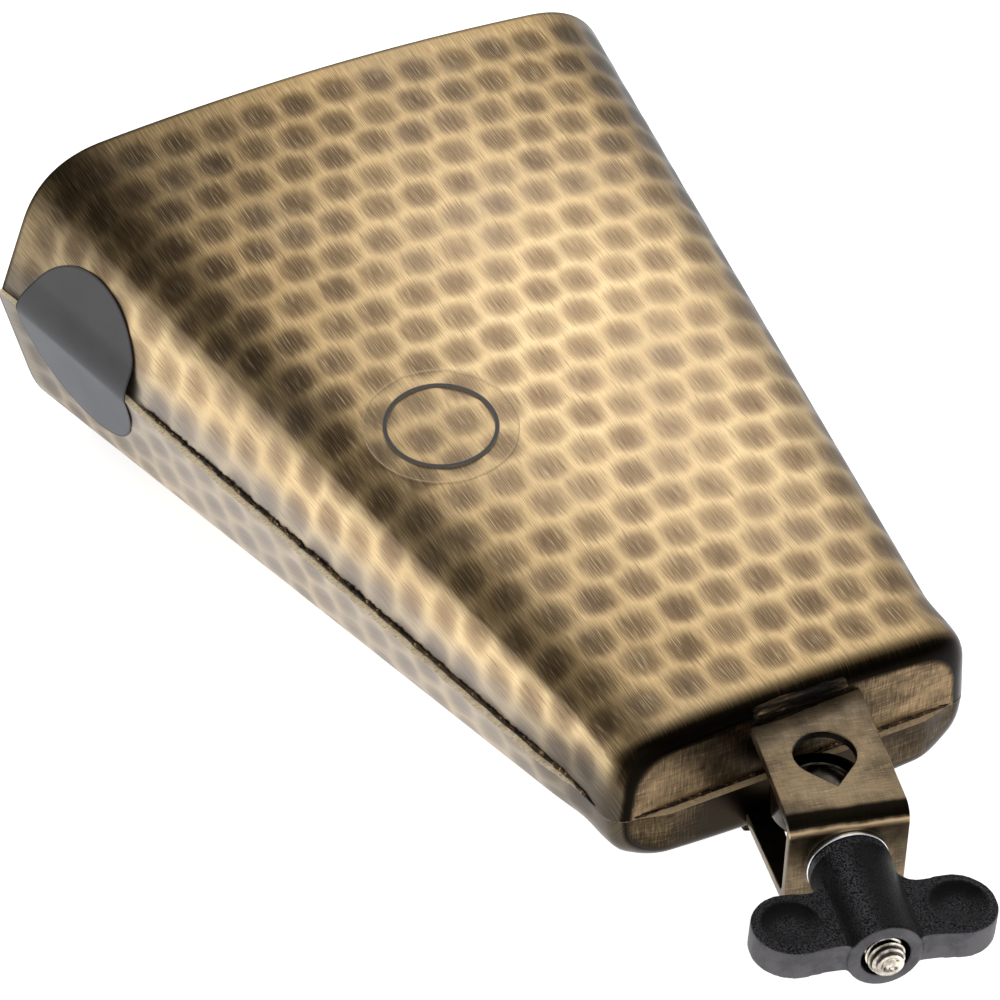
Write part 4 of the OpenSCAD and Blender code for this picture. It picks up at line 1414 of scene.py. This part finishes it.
def clear_film():
    f = Finish("clear_film")
    film = f.attribute("film", "Vector")
    cloudy = f.noise(film, 90, 3, 0.5)
    from_middle = f.length(film)
    ring = f.band(from_middle, RING_IN) * f.band(from_middle, RING_OUT, 1, 0)
    edge = f.band(from_middle, FACE_EDGE)
    colour = f.mix(ring, paint(214, 190, 150), paint(44, 40, 38))
    return f.shine(Base_Color=colour, Metallic=0.0, Roughness=0.3 + (cloudy - 0.5) * 0.1,
                   Alpha=0.06 + edge * 0.22 + ring * 0.9, Normal=f.bump(cloudy, 0.05, 0.1 * MM))


FILM_FINISHES = [dark_film(), clear_film()]
print("film finishes:", [finish.name for finish in FILM_FINISHES])

# %% [markdown]
# ## The two films on the bell
#
# The clear film is placed through the camera: the ray of its image point meets
# the finished front shell, and its middle lies there. The side film's middle lies
# over the step between the shells, and its place is given: how far along the
# bell, and how far up from the seam.

# %% Films
SIDE_FILM_AT = Vector((26.4, -1.2))
FACE_FILM_AT = (place_on(hammered_front, IMAGE_POINTS["face_film"]) / MM - MOUTH).xy

side_film = lay_film("dark_side_film", SIDE_FILM_R, SIDE_FILM_AT,
                     lambda x, z: bell_place(x, -side_skin(x, z) - FILM_AIR, z),
                     FILM_FINISHES[0], "side_label", -Y_AXIS)
face_film = lay_film("clear_face_film", FACE_FILM_R, FACE_FILM_AT,
                     lambda x, y: bell_place(x, y, face_skin(x, y) + FILM_AIR),
                     FILM_FINISHES[1], "face_label", Z_AXIS)
print("the clear film lies at", [round(v, 1) for v in FACE_FILM_AT], "mm from the mouth's middle")

# %% [markdown]
# ## Floor, world and lamps
#
# Metal shows what stands around it, so most of the light comes from the world.
# The camera sees it plain white and matt surfaces get an even grey of it. Metal
# mirrors a gradient, from dim on the camera's side to white behind and above the
# bell, which gives the broad pale glow on the face. Two soft panels add a little
# to both, and the floor glows so that it looks as white as the world.

# %% Floor, world and lamps
MATT_LEVEL, DIM_LEVEL = 0.72, 0.32
FLOOR_GLOW, FLOOR_SIZE, FLOOR_AIR = 0.75, 4, 0.4
BRIGHT_SIDE = Vector((-0.55, 0.43, 0.715))
FACE_MIDDLE = Vector((-0.135, 0.017, 0.028))


def white_floor():
    f = Finish("white_floor")
    seen = f.ray("Camera") + f.ray("Glossy") + f.ray("Transmission")
    diffuse = f.node("ShaderNodeBsdfDiffuse", None, {"Color": paint(236, 236, 236)})
    glow = f.node("ShaderNodeEmission", None, {"Color": (1, 1, 1, 1), "Strength": seen * FLOOR_GLOW})
    both = f.node("ShaderNodeAddShader", None, {0: diffuse, 1: glow})
    f.node("ShaderNodeOutputMaterial", None, {"Surface": both})
    return f.material


def lay_floor():
    bm = bmesh.new()
    bmesh.ops.create_grid(bm, x_segments=1, y_segments=1, size=FLOOR_SIZE)
    bmesh.ops.translate(bm, verts=bm.verts, vec=(0, 0, cad_low.z - FLOOR_AIR * MM))
    mesh = bpy.data.meshes.new("floor")
    bm.to_mesh(mesh)
    bm.free()
    mesh.materials.append(white_floor())
    floor = bpy.data.objects.new("floor", mesh)
    scene.collection.objects.link(floor)
    floor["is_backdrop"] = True


def light_world():
    """Soft light on matt surfaces. Metal mirrors it brighter, most of all the side behind the bell."""
    world = bpy.data.worlds.new("studio")
    scene.world = world
    world.use_nodes = True
    f = Finish("studio", world)
    toward = f.node("ShaderNodeVectorMath", {"operation": "DOT_PRODUCT"},
                    {0: f.node("ShaderNodeTexCoord", out="Generated"), 1: BRIGHT_SIDE}, out="Value")
    mirrored = f.fade(toward, -0.15, 0.9, DIM_LEVEL - MATT_LEVEL, 1 - MATT_LEVEL)
    seen = f.ray("Camera") + f.ray("Transmission")
    strength = MATT_LEVEL + seen * (1 - MATT_LEVEL) + f.ray("Glossy") * mirrored
    backdrop = f.node("ShaderNodeBackground", None, {"Color": (1, 1, 1, 1), "Strength": strength})
    f.node("ShaderNodeOutputWorld", None, {"Surface": backdrop})


def panel(name, place, aim, size, power):
    lamp = bpy.data.lights.new(name, "AREA")
    lamp.shape, lamp.size, lamp.size_y = "RECTANGLE", *size
    lamp.energy = power
    holder = bpy.data.objects.new(name, lamp)
    scene.collection.objects.link(holder)
    way = Vector(aim) - Vector(place)
    holder.matrix_world = Matrix.Translation(place) @ way.to_track_quat("-Z", "Y").to_matrix().to_4x4()


lay_floor()
light_world()
panel("overhead_panel", FACE_MIDDLE + BRIGHT_SIDE * 0.75, FACE_MIDDLE, (0.3, 0.3), 0.2)
panel("front_panel", (0.9, -0.3, 0.35), (0, 0, 0), (0.7, 0.5), 1.5)
print("world for matt surfaces", MATT_LEVEL, "and for metal from", DIM_LEVEL, "to 1")

# %% [markdown]
# ## Measuring the result
#
# The script finds where the dressed part's edges show in the picture, and prints
# how far each named thing shows from its image point.

# %% Measurements
def seen_box():
    """The least and greatest pixel x and y of the finished vertices."""
    graph = bpy.context.evaluated_depsgraph_get()
    pixels = [pixel_of(piece.matrix_world @ vert.co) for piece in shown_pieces()
              for vert in piece.evaluated_get(graph).data.vertices]
    across, down = [p[0] for p in pixels], [p[1] for p in pixels]
    return min(across), max(across), min(down), max(down)


def middle_of(piece):
    corners = [piece.matrix_world @ v.co for v in piece.data.vertices]
    return sum(corners, Vector()) / len(corners)


def tip_of(piece, side):
    """The pixel of a piece's vertex that shows furthest to the left (-1) or right (1)."""
    return max((pixel_of(v.co) for v in piece.data.vertices), key=lambda pixel: side * pixel[0])


left, right, top, bottom = seen_box()
bend_x, bend_z = ROD_TO_WALL - 0.4, UPPER_H - BEND_R / 2
leg_top = UPPER_H + (ROD_TO_WALL - NOTCH_REACH) * math.tan(UPPER_SPREAD)
shows_at = {
    "left_edge": (left, None), "right_edge": (right, None),
    "top_edge": (None, top), "bottom_edge": (None, bottom),
    "side_film": pixel_of(middle_of(side_film)), "face_film": pixel_of(middle_of(face_film)),
    "rod_hole_notch": pixel_of(clamp_place(NOTCH_REACH, 0, leg_top)),
    "bolt_tip": pixel_of(clamp_place(BOLT_TIP, 0, 0)),
    "bend_near_corner": pixel_of(clamp_place(bend_x, -BRACKET_W / 2, bend_z)),
    "bend_far_corner": pixel_of(clamp_place(bend_x, BRACKET_W / 2, bend_z)),
    "near_wing_tip": tip_of(nut, -1), "far_wing_tip": tip_of(nut, 1),
}
gaps = {name: [None if want is None else round(got - want, 1)
               for got, want in zip(shows_at[name], point)]
        for name, point in IMAGE_POINTS.items()}
print("pixels from the image points:", gaps)
